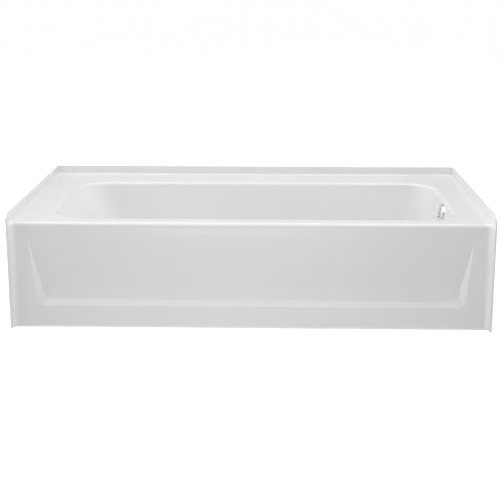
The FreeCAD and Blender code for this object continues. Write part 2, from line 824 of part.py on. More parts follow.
def build_strainer():
    """The threaded strainer body with its cross, the domed grid and its screw."""
    rim = strainer_flange / 2
    thread = strainer_thread / 2
    bore = strainer_bore / 2
    body = turned("strainer_body", [
        (bore, -strainer_length), (thread, -strainer_length), (thread, 0), (rim, 0),
        (rim, strainer_edge), (rim - 2 * strainer_edge, strainer_flange_thickness),
        (grid_width / 2, strainer_flange_thickness), (grid_width / 2, strainer_edge),
        (bore, strainer_edge)])
    bars = new_sketch(body, "CrossBars", "XY_Plane", cross_z)
    half = cross_width / 2
    reach = bore + past
    draw_outline(bars, [
        (-reach, -half), (-half, -half), (-half, -reach), (half, -reach), (half, -half),
        (reach, -half), (reach, half), (half, half), (half, reach), (-half, reach),
        (-half, half), (-reach, half)])
    pad(body, bars, cross_width, "Cross")
    boss = new_sketch(body, "CrossBoss", "XY_Plane", cross_z)
    draw_circle(boss, 0, 0, cross_width)
    pad(body, boss, cross_boss, "CrossBossPad")
    hole = new_sketch(body, "CrossHole", "XY_Plane", cross_z)
    draw_circle(hole, 0, 0, grid_screw / 2)
    pocket(body, hole, 2 * cross_width, "CrossTapping", True)
    place(body, drain_x, basin_centre, well_floor)

    edge = grid_width / 2 - slip_fit
    grid = turned("strainer_grid", [
        (grid_screw / 2, grid_crown - grid_sheet), (grid_cap, grid_crown - grid_sheet),
        (grid_cap, 0), (edge, 0), (edge, grid_sheet), (grid_cap + grid_sheet, grid_sheet),
        (grid_cap + grid_sheet, grid_crown), (grid_screw / 2, grid_crown)])
    drill = new_sketch(grid, "GridDrill", "XY_Plane", -past)
    draw_circle(drill, grid_hole_ring, 0, grid_hole / 2)
    first = pocket(grid, drill, 2 * grid_crown, "GridHole", True)
    ring = grid.newObject("PartDesign::PolarPattern", "GridHoles")
    ring.Originals = [first]
    ring.Axis = (drill, ["N_Axis"])
    ring.Angle = 360
    ring.Occurrences = GRID_HOLES
    grid.Tip = ring
    place(grid, drain_x, basin_centre, well_floor + strainer_edge)

    crown_z = well_floor + strainer_edge + grid_crown
    shank_low = well_floor + cross_z
    screw = fuse([
        cylinder(grid_screw / 2, crown_z - shank_low, drain_x, basin_centre, shank_low),
        cylinder(grid_screw, grid_screw / 3, drain_x, basin_centre, crown_z)])
    slot_box = box(2 * grid_screw, grid_screw / 5, grid_screw, drain_x - grid_screw,
                   basin_centre - grid_screw / 10, crown_z + grid_screw / 8)
    cut(screw, [slot_box], "strainer_screw")


def build_shoe():
    """The drain shoe: a round well under the waste hole with a side outlet."""
    outer = shoe_width / 2
    inner = outer - shoe_wall
    thread = strainer_thread / 2
    flange = strainer_flange / 2 - shoe_flange_inset
    top = seat_under - gasket_thickness
    foot = waste_z - outer
    pan = foot + shoe_wall
    inlet = drain_x + shoe_reach
    thread_low = well_floor - strainer_length
    well = turned("ShoeWell", [
        (0, foot), (outer - shoe_chamfer, foot), (outer, foot + shoe_chamfer),
        (outer, top - fitting_flange), (flange, top - fitting_flange), (flange, top), (0, top)])
    bore = turned("ShoeBore", [
        (0, pan), (inner, pan), (inner, thread_low), (thread, thread_low),
        (thread, top + past), (0, top + past)])
    for body in (well, bore):
        place(body, drain_x, basin_centre, 0)
    shell = fuse([
        well,
        cylinder(fitting_outer, shoe_reach, drain_x, basin_centre, waste_z, "+X"),
        cylinder(thread_outer, socket_depth, inlet - socket_depth, basin_centre, waste_z, "+X"),
    ])
    cut(shell, [
        bore,
        cylinder(tube_bore, shoe_reach, drain_x, basin_centre, waste_z, "+X"),
        cylinder(tube_outer, socket_depth, inlet - socket_depth, basin_centre, waste_z, "+X"),
    ], "drain_shoe")
    gasket = turned("shoe_gasket", [
        (thread, 0), (flange, 0), (flange, gasket_thickness), (thread, gasket_thickness)])
    place(gasket, drain_x, basin_centre, top)


def build_tubes():
    for label, length, x, z, along in (
            ("waste_tube", tee_inlet + side_socket - (drain_x + shoe_reach - socket_depth),
             drain_x + shoe_reach - socket_depth, waste_z, "+X"),
            ("overflow_tube", overflow_z - elbow_drop + socket_depth - (tee_top - socket_depth),
             tube_x, tee_top - socket_depth, "+Z")):
        tube = new_body(label)
        ring = new_sketch(tube, label + "_ring")
        draw_circle(ring, 0, 0, tube_outer)
        draw_circle(ring, 0, 0, tube_bore)
        pad(tube, ring, length, label + "_pad")
        place(tube, x, basin_centre, z, along)


def build_tee():
    """A cast tee: overflow from above, waste from the side, outlet and seat below."""
    y = basin_centre
    shell = fuse([
        cylinder(fitting_outer, 2 * tee_rise, tube_x, y, tee_bottom),
        cylinder(fitting_outer, tee_reach, tube_x, y, waste_z, "-X"),
        cylinder(thread_outer, thread_length, tube_x, y, tee_bottom),
        cylinder(thread_outer, thread_length, tube_x, y, tee_top - thread_length),
        cylinder(thread_outer, thread_length, tee_inlet, y, waste_z, "+X"),
    ])
    seat_low = seat_z - seat_step
    cut(shell, [
        cylinder(tube_bore, tee_top - seat_z, tube_x, y, seat_z),
        cylinder(seat_bore, socket_depth, tube_x, y, tee_bottom),
        cylinder(tube_outer + outlet_clear, seat_low - tee_bottom, tube_x, y, tee_bottom),
        cylinder(tube_outer, socket_depth, tube_x, y, tee_top - socket_depth),
        cylinder(port_radius, tee_reach, tube_x, y, waste_z, "-X"),
        cylinder(tube_bore, tee_reach - thread_outer, tee_inlet, y, waste_z, "+X"),
        cylinder(tube_outer, side_socket, tee_inlet, y, waste_z, "+X"),
    ], "waste_tee")


def build_slip_joints():
    """Three slip nuts with their washers, one on each end of the tee."""
    back_off = nut_lip + washer_thickness
    for name, x, z, along, sign, inner in (
            ("overflow", tube_x, tee_top + back_off, "-Z", -1, tube_outer),
            ("waste", tee_inlet - back_off, waste_z, "+X", 1, tube_outer),
            ("outlet", tube_x, tee_bottom - back_off, "+Z", 1, tube_outer + slip_fit)):
        nut = new_body(name + "_slip_nut")
        hexagon = new_sketch(nut, "Hexagon_" + name)
        corner = nut_flats / 2 / cosine(Size(30.0))
        half_side = corner / 2
        flat = nut_flats / 2
        draw_outline(hexagon, [
            (-half_side, -flat), (half_side, -flat), (corner, 0),
            (half_side, flat), (-half_side, flat), (-corner, 0)])
        pad(nut, hexagon, nut_height, "Hex_" + name)
        chamfer = new_sketch(nut, "Chamfer_" + name, "XZ_Plane")
        draw_outline(chamfer, [
            (flat, 0), (corner + past, 0), (corner + past, nut_bevel)])
        groove = nut.newObject("PartDesign::Groove", "Bevel_" + name)
        groove.Profile = chamfer
        groove.ReferenceAxis = (chamfer, ["V_Axis"])
        groove.Angle = 360
        lip = new_sketch(nut, "Lip_" + name)
        draw_circle(lip, 0, 0, tube_outer + slip_fit)
        pocket(nut, lip, nut_height, "LipBore_" + name, True)
        bore = new_sketch(nut, "Bore_" + name, "XY_Plane", nut_lip)
        draw_circle(bore, 0, 0, thread_outer)
        pocket(nut, bore, nut_height, "ThreadBore_" + name, True)
        place(nut, x, basin_centre, z, along)
        washer = turned(name + "_slip_washer", [
            (inner, 0), (thread_outer, 0), (thread_outer, washer_thickness),
            (inner, washer_thickness)])
        lift = nut_lip * sign
        if along == "+X":
            place(washer, x + lift, basin_centre, z, along)
        else:
            place(washer, x, basin_centre, z + lift, along)


def mitred_bend(label, radius, start, low):
    """A round bar from the wall side that turns down to the tube in two mitres."""
    bend = new_body(label)
    route = new_sketch(bend, label + "_route", "XZ_Plane")
    run = start - tube_x
    draw_outline_open(route, [
        (run, 0), (-elbow_turn, 0), (0, -elbow_turn), (0, low - overflow_z)])
    section = new_sketch(bend, label + "_section", "YZ_Plane", run)
    draw_circle(section, 0, 0, radius)
    pipe = bend.newObject("PartDesign::AdditivePipe", label + "_pipe")
    pipe.Profile = section
    pipe.Spine = route
    pipe.Transition = "Right corner"
    return place(bend, tube_x, basin_centre, overflow_z)


def build_elbow():
    """The overflow elbow: a flat flange on the gasket, turning down to the tube."""
    y = basin_centre
    z = overflow_z
    socket_low = z - elbow_drop
    shell = [
        cylinder(elbow_flange / 2, fitting_flange, elbow_face, y, z, "+X"),
        mitred_bend("ElbowWall", fitting_outer, elbow_face, socket_low),
        cylinder(thread_outer, elbow_thread, tube_x, y, socket_low),
    ]
    bores = [
        mitred_bend("ElbowBore", tube_bore, elbow_face - past, socket_low - past),
        cylinder(tube_outer, socket_depth, tube_x, y, socket_low),
    ]
    for side in (-1, 1):
        height = z + side * screw_spacing / 2
        shell.append(cylinder(boss_width / 2, boss_length, elbow_face, y, height, "+X"))
        hole = doc.addObject("Part::Cylinder", "Tapping")
        bind(hole, Radius=plate_screw / 2, Height=tapping_depth)
        along_wall = side * screw_spacing / 2
        tilt_to_wall(
            hole,
            wall_x + along_wall * sine(drain_end_draft) + tapping_depth * cosine(drain_end_draft),
            y, z + along_wall * cosine(drain_end_draft) - tapping_depth * sine(drain_end_draft))
        bores.append(hole)
    cut(fuse(shell), bores, "overflow_elbow")


def build_overflow_gasket():
    """A soft ring, thicker at its foot, between the leaning wall and the upright elbow."""
    gasket = new_body("overflow_gasket")
    ring = new_sketch(gasket, "GasketRing", "YZ_Plane", wall_x)
    draw_circle(ring, basin_centre, overflow_z, gasket_width / 2)
    draw_circle(ring, basin_centre, overflow_z, gasket_bore / 2)
    pad(gasket, ring, elbow_face - wall_x, "GasketPad")
    side = new_sketch(gasket, "WallLean", "XZ_Plane")
    reach = gasket_width
    lean = reach * tangent(drain_end_draft)
    draw_outline(side, [
        (wall_back - reach, overflow_z - reach),
        (wall_back - lean, overflow_z - reach),
        (wall_back + lean, overflow_z + reach),
        (wall_back - reach, overflow_z + reach)])
    trim = pocket(gasket, side, 4 * gasket_width, "WallTrim")
    trim.Midplane = True


def build_plate():
    """The chromed face plate, dished to a rolled edge, with its slot and two ears."""
    rim = plate_width / 2
    flat = rim - plate_bevel
    inner = flat - plate_wall / 2
    plate = turned("overflow_plate", [
        (0, plate_rise - plate_wall), (inner, plate_rise - plate_wall),
        (rim - plate_wall, 0), (rim, 0), (rim, plate_wall / 2), (flat, plate_rise),
        (0, plate_rise)])
    ears = new_sketch(plate, "Ears", "XY_Plane", -ear_drop)
    half = ear_width / 2
    for low, high in ((lever_ear, lever_ear_end), (-lever_ear_end, -lever_ear)):
        draw_outline(ears, [(-half, low), (half, low), (half, high), (-half, high)])
    pad(plate, ears, plate_rise - plate_wall / 2 + ear_drop, "EarsPad")
    slot = new_sketch(plate, "LeverSlot", "XY_Plane", plate_rise + past)
    high = slot_length / 2
    wide = slot_width / 2
    draw_outline(slot, [
        (wide - high, -wide), (high - wide, -wide, wide, 1),
        (high - wide, wide), (wide - high, wide, wide, 1)])
    pocket(plate, slot, plate_wall + 2 * past, "LeverSlotCut")
    holes = new_sketch(plate, "ScrewHoles", "XY_Plane", plate_rise + past)
    draw_circle(holes, screw_spacing / 2, 0, plate_screw / 2 + slip_fit)
    draw_circle(holes, -screw_spacing / 2, 0, plate_screw / 2 + slip_fit)
    pocket(plate, holes, plate_wall + 2 * past, "ScrewHolesCut")
    bore = new_sketch(plate, "PivotBore", "XZ_Plane")
    draw_circle(bore, 0, pivot_lift, pivot_pin / 2)
    drill = pocket(plate, bore, 4 * lever_ear_end, "PivotDrill")
    drill.Midplane = True
    tilt_to_wall(plate, wall_x, basin_centre, overflow_z)

    screws = []
    for side in (-1, 1):
        along_wall = side * screw_spacing / 2
        screw = turned("PlateScrew_%s" % ("low" if side < 0 else "high"), [
            (0, -screw_length), (plate_screw / 2, -screw_length),
            (plate_screw / 2, 0), (plate_screw, 0), (plate_screw, plate_screw_head),
            (0, plate_screw_head)])
        tilt_to_wall(
            screw,
            wall_x + along_wall * sine(drain_end_draft) - plate_rise * cosine(drain_end_draft),
            basin_centre,
            overflow_z + along_wall * cosine(drain_end_draft)
            + plate_rise * sine(drain_end_draft))
        screws.append(screw)
    group(screws, "plate_screws")


def build_trip_lever():
    """The lever turns on its pin: handle in the basin, arm inside the elbow."""
    lever = new_body("trip_lever")
    handle = new_sketch(lever, "HandleSide", "XZ_Plane")
    draw_outline(handle, [
        (-handle_reach, -handle_tip_half), (-handle_root_run, -handle_root_half),
        (0, -handle_root_half), (0, handle_root_half), (-handle_root_run, handle_root_half),
        (-handle_reach, handle_tip_half, handle_tip_half, 1)])
    grip = pad(lever, handle, handle_width, "Handle")
    grip.Midplane = True
    hub = new_sketch(lever, "Hub", "XZ_Plane")
    draw_circle(hub, 0, 0, hub_radius)
    hub_pad = pad(lever, hub, 2 * hub_half, "HubPad")
    hub_pad.Midplane = True
    arm = new_sketch(lever, "Arm", "XZ_Plane", -(arm_side - arm_sheet / 2))
    tip = arm_length / cosine(lever_throw) + arm_tip
    draw_outline(arm, [
        (0, -arm_half), (tip, -arm_half, arm_half, 1), (tip, arm_half), (0, arm_half)])
    pad(lever, arm, arm_sheet, "ArmPad").Reversed = True
    eye = new_sketch(lever, "ArmSlot", "XZ_Plane")
    middle = (arm_length + arm_length / cosine(lever_throw)) / 2
    half = arm_slot_half
    run = arm_slot_run / 2
    draw_outline(eye, [
        (middle - run, -half), (middle + run, -half, half, 1),
        (middle + run, half), (middle - run, half, half, 1)])
    slot = pocket(lever, eye, 8 * hub_half, "ArmSlotCut")
    slot.Midplane = True
    pivot = new_sketch(lever, "PivotHole", "XZ_Plane")
    draw_circle(pivot, 0, 0, pivot_pin / 2 + pin_clear)
    drill = pocket(lever, pivot, 8 * hub_half, "PivotHoleCut")
    drill.Midplane = True
    place(lever, pivot_x, basin_centre, pivot_z)
    lever.Placement.Rotation = Rotation(Vector(0, 1, 0), 90)
    lever.setExpression("Placement.Rotation.Angle", (-lever_throw).text)

    pin = cylinder(pivot_pin / 2, 2 * lever_ear_end, pivot_x,
                   basin_centre - lever_ear_end, pivot_z, "+Y")
    pin.Label = "lever_pivot_pin"


def build_linkage():
    """What hangs from the lever's arm: cotter pin, wire, coupling, rod, nut, plunger."""
    y = basin_centre
    eye_bore = cotter / 2 + pin_clear
    pin = fuse([
        cylinder(cotter / 2, cotter_length, pin_x, y - wire_width, pin_z, "+Y"),
        cylinder(cotter, cotter_head, pin_x, y - wire_width - cotter_head, pin_z, "+Y")])
    pin.Label = "linkage_pin"

    wire = new_body("linkage_wire")
    route = new_sketch(wire, "WireRoute", "XZ_Plane")
    jog = tube_x - pin_x
    start = -(eye_bore + wire_width / 2)
    bend = -wire_straight
    low = -wire_drop
    draw_outline_open(route, [
        (0, start), (0, bend), (jog, bend - 2 * jog), (jog, low)])
    section = new_sketch(wire, "WireSection", "XY_Plane", start)
    draw_circle(section, 0, 0, wire_width / 2)
    pipe = wire.newObject("PartDesign::AdditivePipe", "WirePipe")
    pipe.Profile = section
    pipe.Spine = route
    pipe.Transition = "Round corner"
    eye = new_sketch(wire, "WireEye", "XZ_Plane")
    draw_circle(eye, 0, 0, eye_bore + wire_width)
    flat_eye = pad(wire, eye, eye_width, "EyePad")
    flat_eye.Midplane = True
    hole = new_sketch(wire, "EyeHole", "XZ_Plane")
    draw_circle(hole, 0, 0, eye_bore)
    pierced = pocket(wire, hole, 4 * wire_width, "EyeHoleCut")
    pierced.Midplane = True
    place(wire, pin_x, y, pin_z)

    wire_low = pin_z - wire_drop
    plunger_low = seat_z + travel
    plunger_top = plunger_low + plunger_height
    coupling = new_body("linkage_coupling")
    outline = new_sketch(coupling, "CouplingHex")
    corner = coupling_flats / 2 / cosine(Size(30.0))
    flat = coupling_flats / 2
    draw_outline(outline, [
        (-corner / 2, -flat), (corner / 2, -flat), (corner, 0),
        (corner / 2, flat), (-corner / 2, flat), (-corner, 0)])
    pad(coupling, outline, coupling_length, "CouplingPad")
    upper = new_sketch(coupling, "WireBore", "XY_Plane", coupling_length / 2)
    draw_circle(upper, 0, 0, wire_width / 2)
    pocket(coupling, upper, coupling_length, "WireBoreCut", True)
    lower = new_sketch(coupling, "RodBore")
    draw_circle(lower, 0, 0, rod_width / 2)
    pocket(coupling, lower, coupling_length / 2, "RodBoreCut", True)
    coupling_z = wire_low - coupling_length / 2
    place(coupling, tube_x, y, coupling_z)

    rod_low = plunger_top - yoke_height
    rod = cylinder(rod_width / 2, coupling_z + coupling_length / 2 - rod_low, tube_x, y, rod_low)
    rod.Label = "plunger_rod"

    lock = new_body("plunger_lock_nut")
    outline = new_sketch(lock, "LockHex")
    draw_outline(outline, [
        (-corner / 2, -flat), (corner / 2, -flat), (corner, 0),
        (corner / 2, flat), (-corner / 2, flat), (-corner, 0)])
    draw_circle(outline, 0, 0, rod_width / 2)
    pad(lock, outline, lock_height, "LockPad")
    place(lock, tube_x, y, plunger_top)

    outer = tube_bore - plunger_clear
    inner = outer - plunger_wall
    plunger = turned("plunger", [
        (inner, 0), (outer - plunger_lead, 0), (outer, 2 * plunger_lead), (outer, plunger_height),
        (inner, plunger_height)])
    yoke = new_sketch(plunger, "Yoke", "XY_Plane", plunger_height - yoke_height)
    reach = inner + plunger_wall / 2
    half = yoke_width / 2
    draw_outline(yoke, [(-reach, -half), (reach, -half), (reach, half), (-reach, half)])
    pad(plunger, yoke, yoke_height, "YokePad")
    tap = new_sketch(plunger, "YokeTap", "XY_Plane", plunger_height - yoke_height)
    draw_circle(tap, 0, 0, rod_width / 2)
    pocket(plunger, tap, yoke_height, "YokeTapCut", True)
    place(plunger, tube_x, y, plunger_low)


NODES = [
    "tub_shell", "floor_board", "bearer_head", "bearer_middle", "bearer_drain",
    "bearer_screws", "front_rim_rail", "back_deck_board",
    "strainer_body", "strainer_grid", "strainer_screw", "drain_shoe", "shoe_gasket",
    "waste_tube", "overflow_tube", "waste_tee",
    "overflow_slip_nut", "waste_slip_nut", "outlet_slip_nut",
    "overflow_slip_washer", "waste_slip_washer", "outlet_slip_washer",
    "overflow_elbow", "overflow_gasket", "overflow_plate", "plate_screws",
    "trip_lever", "lever_pivot_pin",
    "linkage_pin", "linkage_wire", "linkage_coupling", "plunger_rod",
    "plunger_lock_nut", "plunger",
]


def write_parts():
    """Checks every object and every sub-part, then writes one file per node."""
    doc.recompute()
    for item in doc.Objects:
        if "Invalid" in item.State or "Error" in item.State:
            raise RuntimeError("%s did not build: %s" % (item.Label, item.State))
    os.makedirs("parts", exist_ok=True)
    for label in NODES:
        part = doc.getObjectsByLabel(label)[0]
        shape = part.Shape
        if shape.isNull() or not shape.isValid() or not shape.Solids:
            raise RuntimeError("%s has no sound solid" % label)
        shape.exportStep("parts/%s.step" % label)
        bounds = shape.optimalBoundingBox()
        print("%-22s %2d solids %12.0f mm3  x %7.1f %7.1f  y %7.1f %7.1f  z %6.1f %6.1f" % (
            label, len(shape.Solids), shape.Volume, bounds.XMin, bounds.XMax,
            bounds.YMin, bounds.YMax, bounds.ZMin, bounds.ZMax))


build_tub_shell()
build_floor_board()
build_bearers()
build_deck_timbers()
build_strainer()
build_shoe()
build_tubes()
build_tee()
build_slip_joints()
build_elbow()
build_overflow_gasket()
build_plate()
build_trip_lever()
build_linkage()
write_parts()
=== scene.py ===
"""Dresses the moulded alcove bathtub: its gloss shell, timber, chromed trim and trip-lever waste."""

import json
import math

import bmesh
import bpy
from mathutils import Matrix, Vector


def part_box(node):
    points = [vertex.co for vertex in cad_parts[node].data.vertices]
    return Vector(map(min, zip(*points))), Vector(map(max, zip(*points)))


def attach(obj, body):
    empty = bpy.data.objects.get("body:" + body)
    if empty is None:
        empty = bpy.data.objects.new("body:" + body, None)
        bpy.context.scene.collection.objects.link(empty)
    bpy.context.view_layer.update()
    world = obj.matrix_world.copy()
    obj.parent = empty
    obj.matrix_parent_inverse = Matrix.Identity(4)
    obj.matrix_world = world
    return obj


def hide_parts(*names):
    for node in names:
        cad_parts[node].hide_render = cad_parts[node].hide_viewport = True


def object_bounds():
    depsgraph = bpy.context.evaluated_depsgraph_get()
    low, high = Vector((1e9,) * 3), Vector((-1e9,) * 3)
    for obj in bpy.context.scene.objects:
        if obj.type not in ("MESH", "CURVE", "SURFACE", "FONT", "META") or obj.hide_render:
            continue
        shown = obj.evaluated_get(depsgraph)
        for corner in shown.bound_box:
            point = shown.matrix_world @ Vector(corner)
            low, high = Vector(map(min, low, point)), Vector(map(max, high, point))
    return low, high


bl_info = {
    "name": "Alcove Bathtub",
    "version": (1, 0, 0),
    "blender": (4, 5, 0),
    "location": "View3D > Sidebar > Bathtub",
    "description": "Finishes a moulded bathtub, the timber under it and its trip-lever waste",
    "category": "Object",
}

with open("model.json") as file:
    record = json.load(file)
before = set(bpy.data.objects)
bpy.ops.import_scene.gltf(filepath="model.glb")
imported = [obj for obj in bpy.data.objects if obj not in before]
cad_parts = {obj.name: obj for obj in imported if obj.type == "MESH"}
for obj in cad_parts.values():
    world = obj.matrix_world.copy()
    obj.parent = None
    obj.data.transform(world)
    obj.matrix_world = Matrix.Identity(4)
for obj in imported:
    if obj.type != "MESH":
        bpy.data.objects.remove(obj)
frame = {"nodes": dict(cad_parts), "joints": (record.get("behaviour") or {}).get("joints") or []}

MM = 0.001
QUARTER = math.pi / 2
CAD_LOW, CAD_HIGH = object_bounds()
HINGE = next(joint for joint in frame["joints"] if joint["name"] == "trip_lever_hinge")
PIVOT = Vector(HINGE["pos_m"])
LEVER_THROW = math.radians(HINGE["range_deg"][1]) / 2
WALL_LEAN = math.radians(6)


# --- node helpers

FLOAT = "NodeSocketFloat"
COLOUR = "NodeSocketColor"
VECTOR = "NodeSocketVector"
GEOMETRY = "NodeSocketGeometry"
SOCKET_TYPES = {float: FLOAT, int: "NodeSocketInt", tuple: COLOUR}
SURFACE_OUTPUTS = {"Color": COLOUR, "Roughness": FLOAT, "Height": FLOAT}


def set_inputs(tree, node, values):
    """Gives each socket its value, the output that feeds it or a list of such outputs."""
    for key, value in values.items():
        for source in value if isinstance(value, list) else [value]:
            if isinstance(source, bpy.types.NodeSocket):
                tree.links.new(source, node.inputs[key])
            else:
                node.inputs[key].default_value = source


def put(tree, kind, values=None, **settings):
    """Adds a node, sets it up and returns its outputs."""
    node = tree.nodes.new(kind)
    for name, setting in settings.items():
        setattr(node, name, setting)
    set_inputs(tree, node, values or {})
    return node.outputs


def new_tree(kind, name, inputs, outputs):
    """A node tree and its given values; an input is stated by its default, else its type."""
    tree = bpy.data.node_groups.new(name, kind)
    for label, value in inputs.items():
        only_type = isinstance(value, str)
        socket = tree.interface.new_socket(
            label, in_out="INPUT", socket_type=value if only_type else SOCKET_TYPES[type(value)])
        if not only_type:
            socket.default_value = value
    for label, socket_type in outputs.items():
        tree.interface.new_socket(label, in_out="OUTPUT", socket_type=socket_type)
    return tree, put(tree, "NodeGroupInput")


def group_of(build):
    """A node group, built the first time that it is asked for and named after its builder."""
    return bpy.data.node_groups.get(build.__name__) or build(build.__name__)


def calculate(tree, operation, first, second=0.0, third=0.0, clamp=False):
    """The result of one Math node."""
    return put(tree, "ShaderNodeMath", {0: first, 1: second, 2: third},
               operation=operation, use_clamp=clamp)[0]


def spread(tree, value, low, high, new_low=0.0, new_high=1.0):
    """A value carried from one range to another and held inside it."""
    return put(tree, "ShaderNodeMapRange", {
        0: value, 1: low, 2: high, 3: new_low, 4: new_high})[0]


def blend_colours(tree, factor, low, high):
    """The low colour at factor 0, the high one at 1."""
    return put(tree, "ShaderNodeMix", {0: factor, 6: low, 7: high}, data_type="RGBA")[2]


def axes_of(tree, vector):
    """A vector's X, Y and Z."""
    return put(tree, "ShaderNodeSeparateXYZ", {0: vector})


def mapped(tree, place, turn=(0, 0, 0), scale=(1, 1, 1), shift=(0, 0, 0)):
    """A place that is scaled, turned and then moved."""
    return put(tree, "ShaderNodeMapping", {
        "Vector": place, "Location": shift, "Rotation": turn, "Scale": scale})[0]


def noise(tree, place, scale, detail):
    """The value of a noise texture."""
    return put(tree, "ShaderNodeTexNoise", {
        "Vector": place, "Scale": scale, "Detail": detail})[0]


def streaks(tree, given, layers, detail, low, high):
    """The strongest of several noises, each with its own (turn, scale)."""
    total = 0.0
    for turn, scale in layers:
        place = mapped(tree, given["Vector"], turn, scale)
        layer = spread(tree, noise(tree, place, given["Scale"], detail), low, high)
        total = calculate(tree, "MAXIMUM", total, layer)
    return total


# --- shared shader groups

def surface_life(name):
    """Slow drifts of colour and gloss, and a fine grain, as on any moulded or cast skin."""
    tree, given = new_tree("ShaderNodeTree", name, {
        "Vector": VECTOR,
        "Color": (0.8, 0.8, 0.8, 1),
        "Patch Color": (0.7, 0.7, 0.7, 1),
        "Patch Scale": 6.0,
        "Roughness": 0.3,
        "Roughness Spread": 0.05,
        "Grain Scale": 400.0,
    }, SURFACE_OUTPUTS)
    patches = noise(tree, given["Vector"], given["Patch Scale"], 4.0)
    grain = noise(tree, given["Vector"], given["Grain Scale"], 2.0)
    share = spread(tree, patches, 0.35, 0.65)
    colour = blend_colours(tree, share, given["Color"], given["Patch Color"])
    drift = calculate(tree, "SUBTRACT", patches, 0.5)
    rough = calculate(tree, "MULTIPLY_ADD", drift, given["Roughness Spread"], given["Roughness"])
    put(tree, "NodeGroupOutput", {"Color": colour, "Roughness": rough, "Height": grain})
    return tree


def fine_scratches(name):
    """Fine straight marks, thinned until only the strongest are left."""
    tree, given = new_tree("ShaderNodeTree", name, {
        "Vector": VECTOR,
        "Scale": 60.0,
        "Stretch": 30.0,
        "Amount": 0.4,
    }, {"Mask": FLOAT})
    lengths = put(tree, "ShaderNodeCombineXYZ", {0: 1.0, 1: given["Stretch"], 2: 1.0})[0]
    layers = [((turn, 0.4 * turn, turn), lengths) for turn in (0.3, 1.4, 2.5)]
    marks = streaks(tree, given, layers, 1.0, 0.62, 0.7)
    put(tree, "NodeGroupOutput", {"Mask": calculate(tree, "MULTIPLY", marks, given["Amount"])})
    return tree


def strand_mat(name):
    """Chopped glass strands set in resin: short crossed fibres and wetted-out patches."""
    tree, given = new_tree("ShaderNodeTree", name, {
        "Vector": VECTOR,
        "Resin Color": (0.62, 0.6, 0.5, 1),
        "Strand Color": (0.82, 0.82, 0.76, 1),
        "Scale": 28.0,
        "Roughness": 0.5,
    }, SURFACE_OUTPUTS)
    layers = [((turn, turn, turn), stretch) for turn, stretch in (
        (0.2, (1, 9, 9)), (0.9, (9, 1, 9)), (0.5, (9, 9, 1)), (2.1, (1, 9, 7)))]
    strands = streaks(tree, given, layers, 2.0, 0.5, 0.68)
    wet = noise(tree, given["Vector"], 7.0, 3.0)
    shown = calculate(tree, "MULTIPLY", strands, spread(tree, wet, 0.3, 0.7, 0.45, 1.0))
    colour = blend_colours(tree, shown, given["Resin Color"], given["Strand Color"])
    rough = calculate(tree, "MULTIPLY_ADD", wet, 0.25, given["Roughness"])
    put(tree, "NodeGroupOutput", {"Color": colour, "Roughness": rough, "Height": strands})
    return tree


def wood_grain(name):
    """Growth rings about a far-off pith along the local Z, with fibres and pores."""
    tree, given = new_tree("ShaderNodeTree", name, {
        "Vector": VECTOR,
        "Early Color": (0.8, 0.66, 0.44, 1),
        "Late Color": (0.62, 0.42, 0.22, 1),
        "Rings Per Metre": 260.0,
        "Roughness": 0.6,
    }, SURFACE_OUTPUTS)
    wander = noise(tree, mapped(tree, given["Vector"], scale=(9, 9, 0.9)), 1.0, 3.0)
    axes = axes_of(tree, given["Vector"])
    across = calculate(tree, "POWER", axes[0], 2.0)
    upward = calculate(tree, "POWER", axes[1], 2.0)
    radius = calculate(tree, "SQRT", calculate(tree, "ADD", across, upward))
    wavy = calculate(tree, "MULTIPLY_ADD", wander, 0.02, radius)
    ring = calculate(tree, "FRACT", calculate(tree, "MULTIPLY", wavy, given["Rings Per Metre"]))
    late = calculate(tree, "POWER", ring, 2.5)
    pores = noise(tree, mapped(tree, given["Vector"], scale=(900, 900, 14)), 1.0, 2.0)
    tone = calculate(tree, "MULTIPLY_ADD", pores, 0.5, late, clamp=True)
    tone = calculate(tree, "SUBTRACT", tone, 0.15, clamp=True)
    put(tree, "NodeGroupOutput", {
        "Color": blend_colours(tree, tone, given["Early Color"], given["Late Color"]),
        "Roughness": calculate(tree, "MULTIPLY_ADD", pores, 0.2, given["Roughness"]),
        "Height": calculate(tree, "MULTIPLY_ADD", late, 0.6, pores)})
    return tree


# --- materials

def shared(tree, build, values):
    """What a shared shader group gives in a material."""
    return put(tree, "ShaderNodeGroup", values, node_tree=group_of(build))


def bump(tree, height, strength, distance, normal=None):
    """The normal of a bumpy skin, over another normal where one is given."""
    values = {"Strength": strength, "Distance": distance, "Height": height}
    if normal is not None:
        values["Normal"] = normal
    return put(tree, "ShaderNodeBump", values)[0]


def feed(tree, shader, skin, strength, distance):
    """Joins a group's colour and roughness to the shader, and its height as a bump."""
    normal = bump(tree, skin["Height"], strength, distance)
    set_inputs(tree, shader, {
        "Base Color": skin["Color"], "Roughness": skin["Roughness"], "Normal": normal})
    return normal


def gloss_shell(tree, shader, place):
    """Polished gelcoat: nearly mirror smooth, with the faintest ripple of the mould."""
    look = bpy.context.scene.tub_shell
    darker = [0.985 * part for part in look.colour]
    skin = shared(tree, surface_life, {
        "Vector": place, "Color": (*look.colour, 1), "Patch Color": (*darker, 1),
        "Patch Scale": 3.0, "Roughness": look.roughness, "Roughness Spread": 0.1,
        "Grain Scale": 450.0})
    fine = feed(tree, shader, skin, 0.04, 0.05 * MM)
    ripple = noise(tree, place, 5.0, 1.0)
    set_inputs(tree, shader, {
        "Normal": bump(tree, ripple, look.ripple, 3 * MM, fine),
        "IOR": 1.5, "Coat Weight": 0.35, "Coat Roughness": 0.04})


def laminate(tree, shader, place):
    """Bare glass mat and resin, rough as it was rolled."""
    feed(tree, shader, shared(tree, strand_mat, {"Vector": place}), 0.6, 0.8 * MM)
    set_inputs(tree, shader, {"Coat Weight": 0.15})


